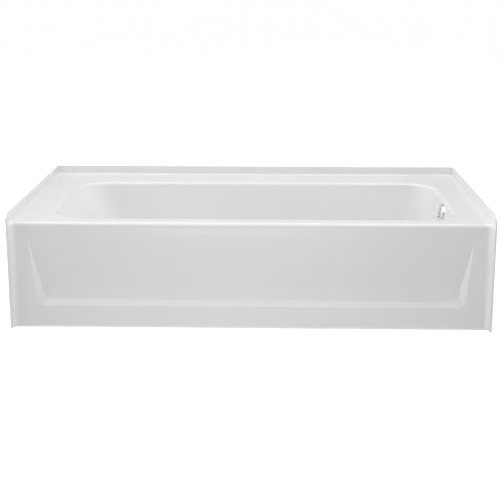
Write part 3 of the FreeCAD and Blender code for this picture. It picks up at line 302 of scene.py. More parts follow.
def timber(tree, shader, place, turn):
    """Planed softwood whose length lies along the axis that the turn brings to Z."""
    along = mapped(tree, place, turn, shift=(0.031, 0.024, 0))
    feed(tree, shader, shared(tree, wood_grain, {"Vector": along}), 0.35, 0.25 * MM)


def plywood(tree, shader, place):
    """Rotary-cut faces over thin plies whose edges show as alternate stripes."""
    along = mapped(tree, place, (0, QUARTER, 0), shift=(0.4, 0.11, 0))
    grain = shared(tree, wood_grain, {"Vector": along, "Rings Per Metre": 70.0})
    feed(tree, shader, grain, 0.3, 0.2 * MM)
    pairs_per_metre = 0.5 / bpy.context.scene.tub_timber.ply
    pairs = calculate(tree, "MULTIPLY_ADD", axes_of(tree, place)[2], pairs_per_metre, 0.15)
    stripe = calculate(tree, "GREATER_THAN", calculate(tree, "FRACT", pairs), 0.5)
    facing = put(tree, "ShaderNodeNewGeometry")["Normal"]
    upright = calculate(tree, "ABSOLUTE", axes_of(tree, facing)[2])
    on_edge = calculate(tree, "LESS_THAN", upright, 0.5)
    share = calculate(tree, "MULTIPLY", calculate(tree, "MULTIPLY", stripe, on_edge), 0.55)
    set_inputs(tree, shader, {
        "Base Color": blend_colours(tree, share, grain["Color"], (0.33, 0.2, 0.1, 1))})


def metal(tree, shader, place, colour, tarnish, patches, rough, grain, depth, scratches):
    """A metal skin with drifting tarnish, a grain and fine scratches."""
    skin = shared(tree, surface_life, {
        "Vector": place, "Color": (*colour, 1), "Patch Color": (*tarnish, 1),
        "Patch Scale": patches, "Roughness": rough, "Roughness Spread": rough,
        "Grain Scale": grain})
    feed(tree, shader, skin, 0.5, depth)
    marks = shared(tree, fine_scratches, {"Vector": place, "Amount": scratches})
    set_inputs(tree, shader, {
        "Metallic": 1.0, "Roughness": calculate(tree, "ADD", skin["Roughness"], marks["Mask"])})


def rubber(tree, shader, place):
    """Dull black rubber."""
    feed(tree, shader, shared(tree, surface_life, {
        "Vector": place, "Color": (0.03, 0.03, 0.032, 1), "Patch Color": (0.055, 0.055, 0.055, 1),
        "Patch Scale": 60.0, "Roughness": 0.62, "Roughness Spread": 0.2,
        "Grain Scale": 1100.0}), 0.5, 0.1 * MM)


def foam(tree, shader, place):
    """Closed-cell sponge: dark grey rubber under small open cells."""
    fine = feed(tree, shader, shared(tree, surface_life, {
        "Vector": place, "Color": (0.06, 0.06, 0.065, 1), "Patch Color": (0.1, 0.1, 0.1, 1),
        "Patch Scale": 50.0, "Roughness": 0.85, "Roughness Spread": 0.1,
        "Grain Scale": 900.0}), 0.5, 0.1 * MM)
    cells = put(tree, "ShaderNodeTexVoronoi", {"Vector": place, "Scale": 900.0})["Distance"]
    set_inputs(tree, shader, {"Normal": bump(tree, cells, 0.8, 0.5 * MM, fine)})


FINISHES = {
    "gloss_shell": (gloss_shell, {}),
    "laminate": (laminate, {}),
    "timber_across": (timber, {"turn": (QUARTER, 0, 0)}),
    "timber_along": (timber, {"turn": (0, QUARTER, 0)}),
    "plywood": (plywood, {}),
    "rubber": (rubber, {}),
    "foam": (foam, {}),
    "chrome": (metal, {
        "colour": (0.93, 0.935, 0.94), "tarnish": (0.88, 0.885, 0.89), "patches": 40.0,
        "rough": 0.05, "grain": 500.0, "depth": 0.002 * MM, "scratches": 0.08}),
    "brass": (metal, {
        "colour": (0.78, 0.6, 0.3), "tarnish": (0.6, 0.42, 0.2), "patches": 30.0,
        "rough": 0.28, "grain": 600.0, "depth": 0.01 * MM, "scratches": 0.15}),
    "cast_brass": (metal, {
        "colour": (0.72, 0.55, 0.29), "tarnish": (0.5, 0.36, 0.18), "patches": 45.0,
        "rough": 0.42, "grain": 420.0, "depth": 0.25 * MM, "scratches": 0.05}),
    "zinc": (metal, {
        "colour": (0.74, 0.71, 0.58), "tarnish": (0.6, 0.6, 0.62), "patches": 120.0,
        "rough": 0.3, "grain": 900.0, "depth": 0.01 * MM, "scratches": 0.1}),
}


def new_material(name):
    """A material with its tree and its shader."""
    material = bpy.data.materials.new(name)
    material.use_nodes = True
    return material, material.node_tree, material.node_tree.nodes["Principled BSDF"]


def finish(name):
    """A material, made the first time that a piece asks for it."""
    material = bpy.data.materials.get(name)
    if not material:
        material, tree, shader = new_material(name)
        make, values = FINISHES[name]
        make(tree, shader, put(tree, "ShaderNodeTexCoord")["Object"], **values)
    return material


# --- mesh helpers

JOIN = 0.01 * MM
FLAT = math.radians(0.3)
CURVED = math.radians(3)
CREASE = math.radians(32)
SOFT_CREASE = math.radians(50)
SHARP = math.radians(60)
LONGEST_CURVED_EDGE = 60 * MM
LARGEST_LIFT = 0.5 * MM
MOST_UNEVEN = 2
TINY = 1e-6


def joined_copy(node):
    """A copy of a CAD node's loose triangles with their shared corners joined."""
    shape = bmesh.new()
    shape.from_mesh(frame["nodes"][node].data)
    bmesh.ops.remove_doubles(shape, verts=shape.verts, dist=JOIN)
    bmesh.ops.dissolve_degenerate(shape, edges=shape.edges, dist=JOIN)
    return shape


def patches_of(shape):
    """Numbers the flat patches that the faces make up, and gives their areas."""
    number = [-1] * len(shape.faces)
    areas = []
    for face in shape.faces:
        if number[face.index] >= 0:
            continue
        number[face.index] = len(areas)
        areas.append(0.0)
        waiting = [face]
        while waiting:
            here = waiting.pop()
            areas[-1] += here.calc_area()
            for edge in here.edges:
                for other in edge.link_faces:
                    if number[other.index] < 0 and here.normal.angle(other.normal, 0) < FLAT:
                        number[other.index] = len(areas) - 1
                        waiting.append(other)
    return number, areas


def smooth_normals(shape, crease):
    """One normal per face corner: corners blend across soft edges, and wide patches lead."""
    shape.verts.index_update()
    shape.faces.index_update()
    number, areas = patches_of(shape)
    found = {}
    for vertex in shape.verts:
        left = set(vertex.link_faces)
        while left:
            together = [left.pop()]
            for face in together:
                for edge in face.edges:
                    if vertex not in edge.verts or len(edge.link_faces) != 2:
                        continue
                    if edge.calc_face_angle(0) > crease:
                        continue
                    for other in edge.link_faces:
                        if other in left:
                            left.remove(other)
                            together.append(other)
            total = Vector()
            for face in together:
                corner = [loop for loop in face.loops if loop.vert == vertex][0]
                total += face.normal * areas[number[face.index]] * corner.calc_angle()
            for face in together:
                found[face.index, vertex.index] = total.normalized()
    return found


def curve_middles(shape, normals):
    """A new corner for each edge that spans a curve, lifted on to the curve.

    The curve is the cubic that leaves both ends square to their normals. Its middle stands
    off the edge along each normal, by an eighth of how far the edge runs along that normal.
    """
    middles = {}
    for edge in list(shape.edges):
        start, end = edge.verts
        run = end.co - start.co
        lift, turn = Vector(), 0
        for face in edge.link_faces:
            first = normals[face.index, start.index]
            last = normals[face.index, end.index]
            turn = max(turn, first.angle(last))
            rise, fall = run.dot(last), -run.dot(first)
            if 1 / MOST_UNEVEN < rise / (fall or TINY) < MOST_UNEVEN:
                lift += (rise * last + fall * first) / 8 / len(edge.link_faces)
        if turn > CURVED and run.length < LONGEST_CURVED_EDGE and lift.length < LARGEST_LIFT:
            middles[edge] = shape.verts.new((start.co + end.co) / 2 + lift)
    return middles


def halve_curves(shape):
    """Splits a closed skin of triangles once more wherever it bends."""
    middles = curve_middles(shape, smooth_normals(shape, CREASE))
    for face in list(shape.faces):
        loops = list(face.loops)
        split = [loop.edge in middles for loop in loops]
        if not any(split):
            continue
        lead = 0 if all(split) else (split.index(False) + 1) % 3
        if sum(split) == 1:
            lead = split.index(True)
        loops = loops[lead:] + loops[:lead]
        one, two, three = [loop.vert for loop in loops]
        after_one, after_two, after_three = [middles.get(loop.edge) for loop in loops]
        if sum(split) == 1:
            parts = [(one, after_one, three), (after_one, two, three)]
        elif sum(split) == 2:
            parts = [(after_one, two, after_two)]
            if (after_one.co - three.co).length < (after_two.co - one.co).length:
                parts += [(one, after_one, three), (after_one, after_two, three)]
            else:
                parts += [(one, after_one, after_two), (one, after_two, three)]
        else:
            parts = [(one, after_one, after_three), (after_one, two, after_two),
                     (after_three, after_two, three), (after_one, after_two, after_three)]
        shape.faces.remove(face)
        for part in parts:
            shape.faces.new(part)
    loose = [edge for edge in shape.edges if not edge.link_faces]
    bmesh.ops.delete(shape, geom=loose, context="EDGES")
    shape.normal_update()


def write_mesh(shape, name, crease):
    """The finished mesh, smooth but for its creases."""
    shape.normal_update()
    normals = smooth_normals(shape, crease)
    mesh = bpy.data.meshes.new(name)
    shape.to_mesh(mesh)
    shape.free()
    mesh.polygons.foreach_set("use_smooth", [True] * len(mesh.polygons))
    corners = []
    for polygon in mesh.polygons:
        for loop in polygon.loop_indices:
            corners.append(normals[polygon.index, mesh.loops[loop].vertex_index])
    mesh.normals_split_custom_set(corners)
    return mesh


def new_object(name, content):
    """An object in the scene."""
    item = bpy.data.objects.new(name, content)
    bpy.context.scene.collection.objects.link(item)
    return item


def as_object(shape, name="Shape"):
    """An object made from a shape; the shape goes."""
    mesh = bpy.data.meshes.new(name)
    shape.to_mesh(mesh)
    shape.free()
    return new_object(name, mesh)


def shape_of(item):
    """The object's finished shape, ready for more mesh work; the object goes."""
    graph = bpy.context.evaluated_depsgraph_get()
    mesh = bpy.data.meshes.new_from_object(item.evaluated_get(graph))
    shape = bmesh.new()
    shape.from_mesh(mesh)
    bpy.data.meshes.remove(mesh)
    bpy.data.objects.remove(item)
    return shape


def present(shape, name, material, node, body="tub", slot=None, crease=CREASE):
    """Makes a shape a finished piece that rides on a body and stands for a CAD node."""
    item = new_object(name, write_mesh(shape, name, crease))
    item.data.materials.append(finish(material))
    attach(item, body)
    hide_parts(node)
    return item


def dress(node, material, **others):
    """A smooth copy of a CAD node in its own finish."""
    present(joined_copy(node), node + "_finished", material, node, **others)


def join_rings(shape, rings, closed=False):
    """Faces between rings of corners; a ring may be a single point."""
    pairs = list(zip(rings, rings[1:]))
    if closed:
        pairs.append((rings[-1], rings[0]))
    for low, high in pairs:
        steps = max(len(low), len(high))
        for step in range(steps):
            after = (step + 1) % steps
            corners = [low[step % len(low)], low[after % len(low)],
                       high[after % len(high)], high[step % len(high)]]
            corners = list(dict.fromkeys(corners))
            if len(corners) > 2:
                shape.faces.new(corners)
    bmesh.ops.recalc_face_normals(shape, faces=shape.faces)


def lathe(profile, steps, closed=False):
    """A turned form about +Z from profile points (radius, height)."""
    shape = bmesh.new()
    angles = [2 * math.pi * step / steps for step in range(steps)]
    rings = []
    for radius, height in profile:
        ring = [(radius * math.cos(angle), radius * math.sin(angle), height) for angle in angles]
        if radius < TINY:
            ring = [(0, 0, height)]
        rings.append([shape.verts.new(corner) for corner in ring])
    join_rings(shape, rings, closed)
    return shape


def arc(centre, reach, start, turn, steps):
    """Points along part of an ellipse, turning from the start angle."""
    angles = [start + turn * step / steps for step in range(steps + 1)]
    return [(centre[0] + reach[0] * math.cos(angle), centre[1] + reach[1] * math.sin(angle))
            for angle in angles]


def centre_of(box):
    """The middle of a box from its low and high corners."""
    low, high = box
    return (Vector(low) + Vector(high)) / 2


def block(low, high):
    """A plain box shape, used to cut slots."""
    shape = bmesh.new()
    size = Vector(high) - Vector(low)
    bmesh.ops.create_cube(shape, size=1, matrix=Matrix.Translation(
        centre_of((low, high))) @ Matrix.Diagonal((*size, 1)))
    return shape


def carve(shape, cutters):
    """The shape less its cutters."""
    item = as_object(shape)
    tools = [as_object(cutter) for cutter in cutters]
    for tool in tools:
        step = item.modifiers.new("Cut", "BOOLEAN")
        step.operation = "DIFFERENCE"
        step.solver = "EXACT"
        step.object = tool
    result = shape_of(item)
    for tool in tools:
        bpy.data.objects.remove(tool)
    return result


def merge_shapes(shapes):
    """Several closed shapes in one."""
    whole = bmesh.new()
    for shape in shapes:
        mesh = bpy.data.meshes.new("Part")
        shape.to_mesh(mesh)
        shape.free()
        whole.from_mesh(mesh)
        bpy.data.meshes.remove(mesh)
    return whole


def wall_matrix():
    """Stands +Z out of the drain-end wall at the overflow, with +X up the wall."""
    out = Matrix.Rotation(WALL_LEAN - QUARTER, 4, "Y")
    behind = Matrix.Translation((0, 0, -1 * MM))
    return Matrix.Translation(PIVOT) @ out @ behind


# --- geometry node trees

def swept(tree, curve, sides, radius):
    """A capped wire with so many sides along a curve."""
    section = put(tree, "GeometryNodeCurvePrimitiveCircle", {
        "Resolution": sides, "Radius": radius})
    return put(tree, "GeometryNodeCurveToMesh", {
        "Curve": curve, "Profile Curve": section[0], "Fill Caps": True})[0]


def end_geometry(tree, given, geometry):
    """Ends a tree with real meshes in the finish that it was given."""
    real = put(tree, "GeometryNodeRealizeInstances", {"Geometry": geometry})
    coated = put(tree, "GeometryNodeSetMaterial", {
        "Geometry": real[0], "Material": given["Finish"]})
    put(tree, "NodeGroupOutput", {"Geometry": coated[0]})
    return tree


def threaded_screws(name):
    """Threaded screws: a head and shank with a ridge wound on, at each input point."""
    tree, given = new_tree("GeometryNodeTree", name, {
        "Places": GEOMETRY,
        "Blank": "NodeSocketObject",
        "Shank Radius": 0.0025,
        "Thread Top": -0.004,
        "Thread Length": 0.02,
        "Pitch": 0.001,
        "Ridge": 0.0004,
        "Turn": VECTOR,
        "Finish": "NodeSocketMaterial",
    }, {"Geometry": GEOMETRY})
    blank = put(tree, "GeometryNodeObjectInfo", {"Object": given["Blank"]})
    spiral = put(tree, "GeometryNodeCurveSpiral", {
        "Resolution": 16, "Start Radius": given["Shank Radius"],
        "Rotations": calculate(tree, "DIVIDE", given["Thread Length"], given["Pitch"]),
        "End Radius": given["Shank Radius"], "Height": given["Thread Length"],
        "Reverse": True})
    low = calculate(tree, "SUBTRACT", given["Thread Top"], given["Thread Length"])
    wound = put(tree, "GeometryNodeTransform", {
        "Geometry": swept(tree, spiral[0], 3, given["Ridge"]),
        "Translation": put(tree, "ShaderNodeCombineXYZ", {2: low})[0]})
    screw = put(tree, "GeometryNodeJoinGeometry", {0: [blank["Geometry"], wound[0]]})
    placed = put(tree, "GeometryNodeInstanceOnPoints", {
        "Points": given["Places"], "Instance": screw[0], "Rotation": given["Turn"]})
    return end_geometry(tree, given, placed[0])


def drilled_ring(name):
    """A perforated sheet: a ring of round holes through the input sheet."""
    tree, given = new_tree("GeometryNodeTree", name, {
        "Sheet": GEOMETRY,
        "Holes": 10,
        "Ring Radius": 0.013,
        "Hole Radius": 0.003,
        "Depth": 0.02,
        "Finish": "NodeSocketMaterial",
    }, {"Geometry": GEOMETRY})
    ring = put(tree, "GeometryNodeMeshCircle", {
        "Vertices": given["Holes"], "Radius": given["Ring Radius"]})
    drill = put(tree, "GeometryNodeMeshCylinder", {
        "Vertices": 24, "Radius": given["Hole Radius"], "Depth": given["Depth"]})
    drills = put(tree, "GeometryNodeInstanceOnPoints", {
        "Points": ring[0], "Instance": drill[0]})
    solid = put(tree, "GeometryNodeRealizeInstances", {"Geometry": drills[0]})
    drilled = put(tree, "GeometryNodeMeshBoolean", {
        "Mesh 1": given["Sheet"], "Mesh 2": solid[0]}, operation="DIFFERENCE", solver="EXACT")
    return end_geometry(tree, given, drilled[0])


def bent_wire(name):
    """A bent wire along the input's edges, with a rounded bend at each corner."""
    tree, given = new_tree("GeometryNodeTree", name, {
        "Route": GEOMETRY,
        "Wire Radius": 0.00125,
        "Bend Radius": 0.004,
        "Finish": "NodeSocketMaterial",
    }, {"Geometry": GEOMETRY})
    line = put(tree, "GeometryNodeMeshToCurve", {"Mesh": given["Route"]})
    bends = put(tree, "GeometryNodeFilletCurve", {
        "Curve": line[0], "Radius": given["Bend Radius"], "Limit Radius": True,
        "Count": 6}, mode="POLY")
    return end_geometry(tree, given, swept(tree, bends[0], 16, given["Wire Radius"]))


def run_tree(build, item, values):
    """Runs a geometry tree on an object and gives the plain shape; the object goes."""
    tree = group_of(build)
    modifier = item.modifiers.new(tree.name, "NODES")
    modifier.node_group = tree
    for socket in tree.interface.items_tree:
        if socket.in_out == "INPUT" and socket.name in values:
            modifier[socket.identifier] = values[socket.name]
    shape = shape_of(item)
    for face in shape.faces:
        face.material_index = 0
    return shape


def points_object(points, joined=False):
    """An object whose vertices are the points, in a chain where they are joined."""
    mesh = bpy.data.meshes.new("Points")
    links = [(k, k + 1) for k in range(len(points) - 1)] if joined else []
    mesh.from_pydata([tuple(point) for point in points], links, [])
    return new_object("Points", mesh)


FINE_THREAD = {"Pitch": 0.8 * MM, "Ridge": 0.35 * MM}
COARSE_THREAD = {"Pitch": 2.2 * MM, "Ridge": 0.45 * MM}


def add_screws(name, blank, places, turn, core, top, length, thread, material, node, slot=None):
    """Winds a thread of some length, from its top down, on copies of a blank screw."""
    blank = as_object(blank)
    shape = run_tree(threaded_screws, points_object(places), {
        "Blank": blank, "Turn": turn, "Finish": finish(material), "Shank Radius": core,
        "Thread Top": top, "Thread Length": length, **thread})
    bpy.data.objects.remove(blank)
    present(shape, name, material, node, slot=slot)


# --- settings

class ShellSettings(bpy.types.PropertyGroup):
    """The moulded shell's look"""
    colour: bpy.props.FloatVectorProperty(
        name="Colour", description="Colour of the moulded shell", subtype="COLOR",
        size=3, default=(0.836, 0.836, 0.832), min=0, max=1)
    roughness: bpy.props.FloatProperty(
        name="Roughness", description="How far the shell's gloss spreads",
        default=0.12, min=0, max=1, subtype="FACTOR")
    ripple: bpy.props.FloatProperty(
        name="Ripple", description="Strength of the mould's long ripple",
        default=0.06, min=0, max=1, subtype="FACTOR")


class TimberSettings(bpy.types.PropertyGroup):
    """The timber's and the boards' detail"""
    arris: bpy.props.FloatProperty(
        name="Arris", description="Rounding of the timber's long edges",
        default=1.5 * MM, min=0, unit="LENGTH")
    ply: bpy.props.FloatProperty(
        name="Ply", description="Thickness of one ply in the boards",
        default=2.4 * MM, min=0.5 * MM, unit="LENGTH")


class TrimSettings(bpy.types.PropertyGroup):
    """Sizes of the overflow plate, the lever and the drain grid"""
    plate_radius: bpy.props.FloatProperty(
        name="Plate Radius", description="Outer radius of the overflow face plate",
        default=38 * MM, unit="LENGTH")
    plate_rise: bpy.props.FloatProperty(
        name="Plate Rise", description="How far the plate stands out of the wall",
        default=10 * MM, unit="LENGTH")
    plate_wall: bpy.props.FloatProperty(
        name="Plate Thickness", description="Thickness of the plate's metal",
        default=1.5 * MM, unit="LENGTH")
    slot_length: bpy.props.FloatProperty(
        name="Slot Length", description="Height of the slot that the lever moves in",
        default=20 * MM, unit="LENGTH")
    slot_width: bpy.props.FloatProperty(
        name="Slot Width", description="Width of the slot that the lever moves in",
        default=9 * MM, unit="LENGTH")
    screw_spacing: bpy.props.FloatProperty(
        name="Screw Spacing", description="Distance between the two plate screws",
        default=46 * MM, unit="LENGTH")
    lever_reach: bpy.props.FloatProperty(
        name="Lever Reach", description="Length of the lever from its pivot",
        default=27 * MM, unit="LENGTH")
    lever_width: bpy.props.FloatProperty(
        name="Lever Width", description="Width of the lever's paddle",
        default=7 * MM, unit="LENGTH")
    grid_holes: bpy.props.IntProperty(
        name="Grid Holes", description="Number of holes in the drain grid",
        default=8, min=3, max=40)


class StageSettings(bpy.types.PropertyGroup):
    """The camera, the floor and the light"""
    focal_length: bpy.props.FloatProperty(
        name="Focal Length", description="Lens of the camera in millimetres",
        default=69.9, min=10)
    eye: bpy.props.FloatVectorProperty(
        name="Eye", description="Place of the camera", subtype="TRANSLATION", size=3,
        default=(0.066, -3.287, 1.126))
    pitch: bpy.props.FloatProperty(
        name="Pitch", description="How far the camera looks down",
        default=math.radians(12.06), subtype="ANGLE")
    yaw: bpy.props.FloatProperty(
        name="Yaw", description="How far the camera looks to the drain end",
        default=math.radians(-1.3), subtype="ANGLE")
    lens_shift: bpy.props.FloatProperty(
        name="Lens Shift", description="Vertical shift of the camera's lens",
        default=-0.15, min=-1, max=1)
    floor_reach: bpy.props.FloatProperty(
        name="Floor Reach", description="Half the width of the floor",
        default=60, unit="LENGTH")
    floor_glow: bpy.props.FloatProperty(
        name="Floor Glow", description="Light that the floor itself gives, to keep it pale",
        default=0.55, min=0)
    horizon: bpy.props.FloatProperty(
        name="Horizon", description="Brightness of the surroundings near the horizon",
        default=0.1, min=0)
    zenith: bpy.props.FloatProperty(
        name="Zenith", description="Brightness of the surroundings overhead",
        default=0.154, min=0)
    nadir: bpy.props.FloatProperty(
        name="Nadir", description="Brightness of the light that the piece gets from below",
        default=0.04, min=0)
    top_light: bpy.props.FloatProperty(
        name="Top Light", description="Power of the large light overhead in watts",
        default=21.1, min=0)
    strip_light: bpy.props.FloatProperty(
        name="Strip Light", description="Power of the long strip over the front rim in watts",
        default=13.2, min=0)
    front_light: bpy.props.FloatProperty(
        name="Front Light", description="Power of the soft light before the apron in watts",
        default=2.45, min=0)
    side_light: bpy.props.FloatProperty(
        name="Side Light", description="Power of the soft light past the head end in watts",
        default=5.2, min=0)
    left_glow: bpy.props.FloatProperty(
        name="Left Glow", description="Extra brightness of the surroundings to the left",
        default=1.08, min=0)
    right_glow: bpy.props.FloatProperty(
        name="Right Glow", description="Extra brightness of the surroundings to the right",
        default=1.0, min=0)
    front_glow: bpy.props.FloatProperty(
        name="Front Glow", description="Extra brightness of the surroundings in front",
        default=0.18, min=0)
    back_glow: bpy.props.FloatProperty(
        name="Back Glow", description="Extra brightness of the surroundings behind",
        default=0.468, min=0)


# --- operators

class BuildShell(bpy.types.Operator):
    """Finish the moulded shell: gloss where it is seen, bare laminate behind"""
    bl_idname = "bathtub.build_shell"
    bl_label = "Moulded Shell"

    def execute(self, context):
        shape = joined_copy("tub_shell")
        halve_curves(shape)
        back = self.back_faces(shape)
        for face in shape.faces:
            face.material_index = 1 if face in back else 0
        shell = present(shape, "moulded_shell", "gloss_shell", "tub_shell", slot="shell_gloss")
        shell.data.materials.append(finish("laminate"))
        return {"FINISHED"}

    def back_faces(self, shape):
        """The faces that run on from the deck's underside and from the apron's inside with
        no sharp edge between, and the flange's outside."""
        straight, steep, margin = 0.99, 0.5, 1 * MM
        apron_inside = CAD_LOW.y + 50 * MM
        under_deck = max((face for face in shape.faces if face.normal.z < -straight),
                         key=lambda face: face.calc_center_median().z)
        in_apron = max((face for face in shape.faces if face.normal.y > straight
                        and face.calc_center_median().y < apron_inside),
                       key=lambda face: face.calc_area())
        reached = {under_deck, in_apron}
        waiting = [under_deck, in_apron]
        while waiting:
            for edge in waiting.pop().edges:
                for other in edge.link_faces:
                    if other not in reached and edge.calc_face_angle(0) < SHARP:
                        reached.add(other)
                        waiting.append(other)
        for face in shape.faces:
            middle = face.calc_center_median()
            outside = abs(middle.x) > CAD_HIGH.x - margin or middle.y > CAD_HIGH.y - margin
            if outside and abs(face.normal.z) < steep:
                reached.add(face)
        return reached


class BuildTimber(bpy.types.Operator):
    """Finish the bearers, the rail and the two boards with eased edges"""
    bl_idname = "bathtub.build_timber"
    bl_label = "Timber and Boards"

    pieces = [
        ("bearer_head", "timber_across", "timber"),
        ("bearer_middle", "timber_across", "timber"),
        ("bearer_drain", "timber_across", "timber"),
        ("front_rim_rail", "timber_along", "timber"),
        ("back_deck_board", "plywood", "plywood"),
        ("floor_board", "plywood", "plywood"),
    ]

    def execute(self, context):
        for node, material, slot in self.pieces:
            shape = joined_copy(node)
            bmesh.ops.dissolve_limit(
                shape, angle_limit=FLAT, verts=shape.verts, edges=shape.edges)
            item = as_object(shape)
            eased = item.modifiers.new("Arris", "BEVEL")
            eased.width = context.scene.tub_timber.arris
            eased.segments = 3
            eased.limit_method = "ANGLE"
            eased.angle_limit = SHARP
            present(shape_of(item), node + "_finished", material, node, slot=slot)
        return {"FINISHED"}


class BuildTimberScrews(bpy.types.Operator):
    """Cut and thread the countersunk screws that hold the bearers to the floor board"""
    bl_idname = "bathtub.build_timber_screws"
    bl_label = "Bearer Screws"

    def execute(self, context):
        head, core, length, tip = 6 * MM, 2.1 * MM, 56 * MM, 8 * MM
        edge, cone, point = -0.4 * MM, -3.6 * MM, 0.2 * MM
        thread_top, thread_length = -18 * MM, length - 24 * MM
        blank = lathe([(0, 0), (head, 0), (head, edge), (core, cone), (core, -length + tip),
                       (point, -length), (0, -length)], 32)
        wide, narrow, deep, clear = 3 * MM, 0.6 * MM, -2 * MM, 1 * MM
        blank = carve(blank, [block((-wide, -narrow, deep), (wide, narrow, clear)),
                              block((-narrow, -wide, deep), (narrow, wide, clear))])
        low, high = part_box("bearer_screws")
        places = []
        for name in ("head", "middle", "drain"):
            bearer = centre_of(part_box("bearer_" + name))
            places += [(bearer.x, y, low.z) for y in (low.y + head, high.y - head)]
        add_screws("bearer_screws_finished", blank, places, (math.pi, 0, 0), core, thread_top,
                   thread_length, COARSE_THREAD, "zinc", "bearer_screws", "zinc_steel")
        return {"FINISHED"}


class BuildFacePlate(bpy.types.Operator):
    """Spin the domed overflow plate and cut its slot, screw holes and pivot ears"""
    bl_idname = "bathtub.build_face_plate"
    bl_label = "Overflow Face Plate"

    def execute(self, context):
        look = context.scene.tub_trim
        half = look.slot_width / 2
        ends = look.slot_length / 2 - half
        deep, high = -4 * MM, look.plate_rise + 2 * MM
        hole, sink, cone = 2.9 * MM, 5.2 * MM, 1 * MM
        seat = look.plate_rise - cone
        cutters = [block((-ends, -half, deep), (ends, half, high))]
        for side in (-1, 1):
            slot_end = lathe([(0, deep), (half, deep), (half, high), (0, high)], 32)
            slot_end.transform(Matrix.Translation((side * ends, 0, 0)))
            screw_hole = lathe([
                (0, deep), (hole, deep), (hole, seat - cone), (sink, seat + cone),
                (sink, high), (0, high)], 32)
            screw_hole.transform(Matrix.Translation((side * look.screw_spacing / 2, 0, 0)))
            cutters += [slot_end, screw_hole]
        plate = carve(lathe(self.profile(look), 160), cutters)
        plate = merge_shapes([plate, self.ear(look, -1), self.ear(look, 1)])
        plate.transform(wall_matrix())
        present(plate, "face_plate", "chrome", "overflow_plate")
        return {"FINISHED"}

    def profile(self, look):
        """From the back's centre, out to the rolled rim and in over the dome."""
        roll, foot, sag, steps = 9 * MM, 0.75 * MM, 0.6 * MM, 20
        shoulder = look.plate_radius - roll
        inner = shoulder - 1 * MM
        inner_roll = roll - look.plate_wall + 0.6 * MM
        lift = look.plate_rise - foot - sag
        back = [(0, look.plate_rise - look.plate_wall),
                (inner, look.plate_rise - look.plate_wall - sag)]
        inside = arc((inner, 0), (inner_roll, lift - look.plate_wall + foot), 0, QUARTER, steps)
        outside = arc((shoulder, foot), (roll, lift), 0, QUARTER, steps)
        dome = [(shoulder * share, look.plate_rise - sag * share ** 2)
                for share in (0.85, 0.7, 0.55, 0.4, 0.25, 0.1, 0)]
        return back + inside[::-1] + [(look.plate_radius, 0)] + outside + dome

    def ear(self, look, side):
        """A rounded lug behind the slot that takes one end of the pivot pin."""
        near, thick, reach, lift, overlap = 4.6 * MM, 2 * MM, 4 * MM, 1 * MM, 0.5 * MM
        root = look.plate_rise - look.plate_wall + overlap
        round_end = arc((0, lift), (reach, reach), 0, -math.pi, 16)
        outline = [(reach, root), *round_end, (-reach, root)]
        shape = bmesh.new()
        face = shape.faces.new([shape.verts.new((x, side * near, z)) for x, z in outline])
        pushed = bmesh.ops.extrude_face_region(shape, geom=[face])
        moved = [item for item in pushed["geom"] if isinstance(item, bmesh.types.BMVert)]
        bmesh.ops.translate(shape, verts=moved, vec=(0, side * thick, 0))
        bmesh.ops.recalc_face_normals(shape, faces=shape.faces)
        return shape


class BuildPlateScrews(bpy.types.Operator):
    """Turn, slot and thread the two oval-head screws of the face plate"""
    bl_idname = "bathtub.build_plate_screws"
    bl_label = "Face Plate Screws"

    def execute(self, context):
        look = context.scene.tub_trim
        head, core, length = 5 * MM, 2.1 * MM, 30 * MM
        inset, tip, neck, edge, dome = 0.6 * MM, 0.8 * MM, -1.6 * MM, 0.3 * MM, 2 * MM
        shank = [(0, -length), (core - inset, -length), (core, -length + tip), (core, neck),
                 (head, 0)]
        oval = arc((0, edge), (head, dome), 0, QUARTER, 8)[:-1] + [(0, edge + dome)]
        long, narrow, deep, clear = 6 * MM, 0.6 * MM, 1 * MM, 4 * MM
        blank = carve(lathe(shank + oval, 40), [
            block((-long, -narrow, deep), (long, narrow, clear))])
        slot_turn = math.radians(25)
        blank.transform(Matrix.Rotation(slot_turn, 4, "Z"))
        places = [wall_matrix() @ Vector((side * look.screw_spacing / 2, 0, look.plate_rise))
                  for side in (-1, 1)]
        add_screws("face_plate_screws", blank, places, (0, WALL_LEAN - QUARTER, 0), core,
                   -3 * MM, length - 5 * MM, FINE_THREAD, "chrome", "plate_screws")
        return {"FINISHED"}


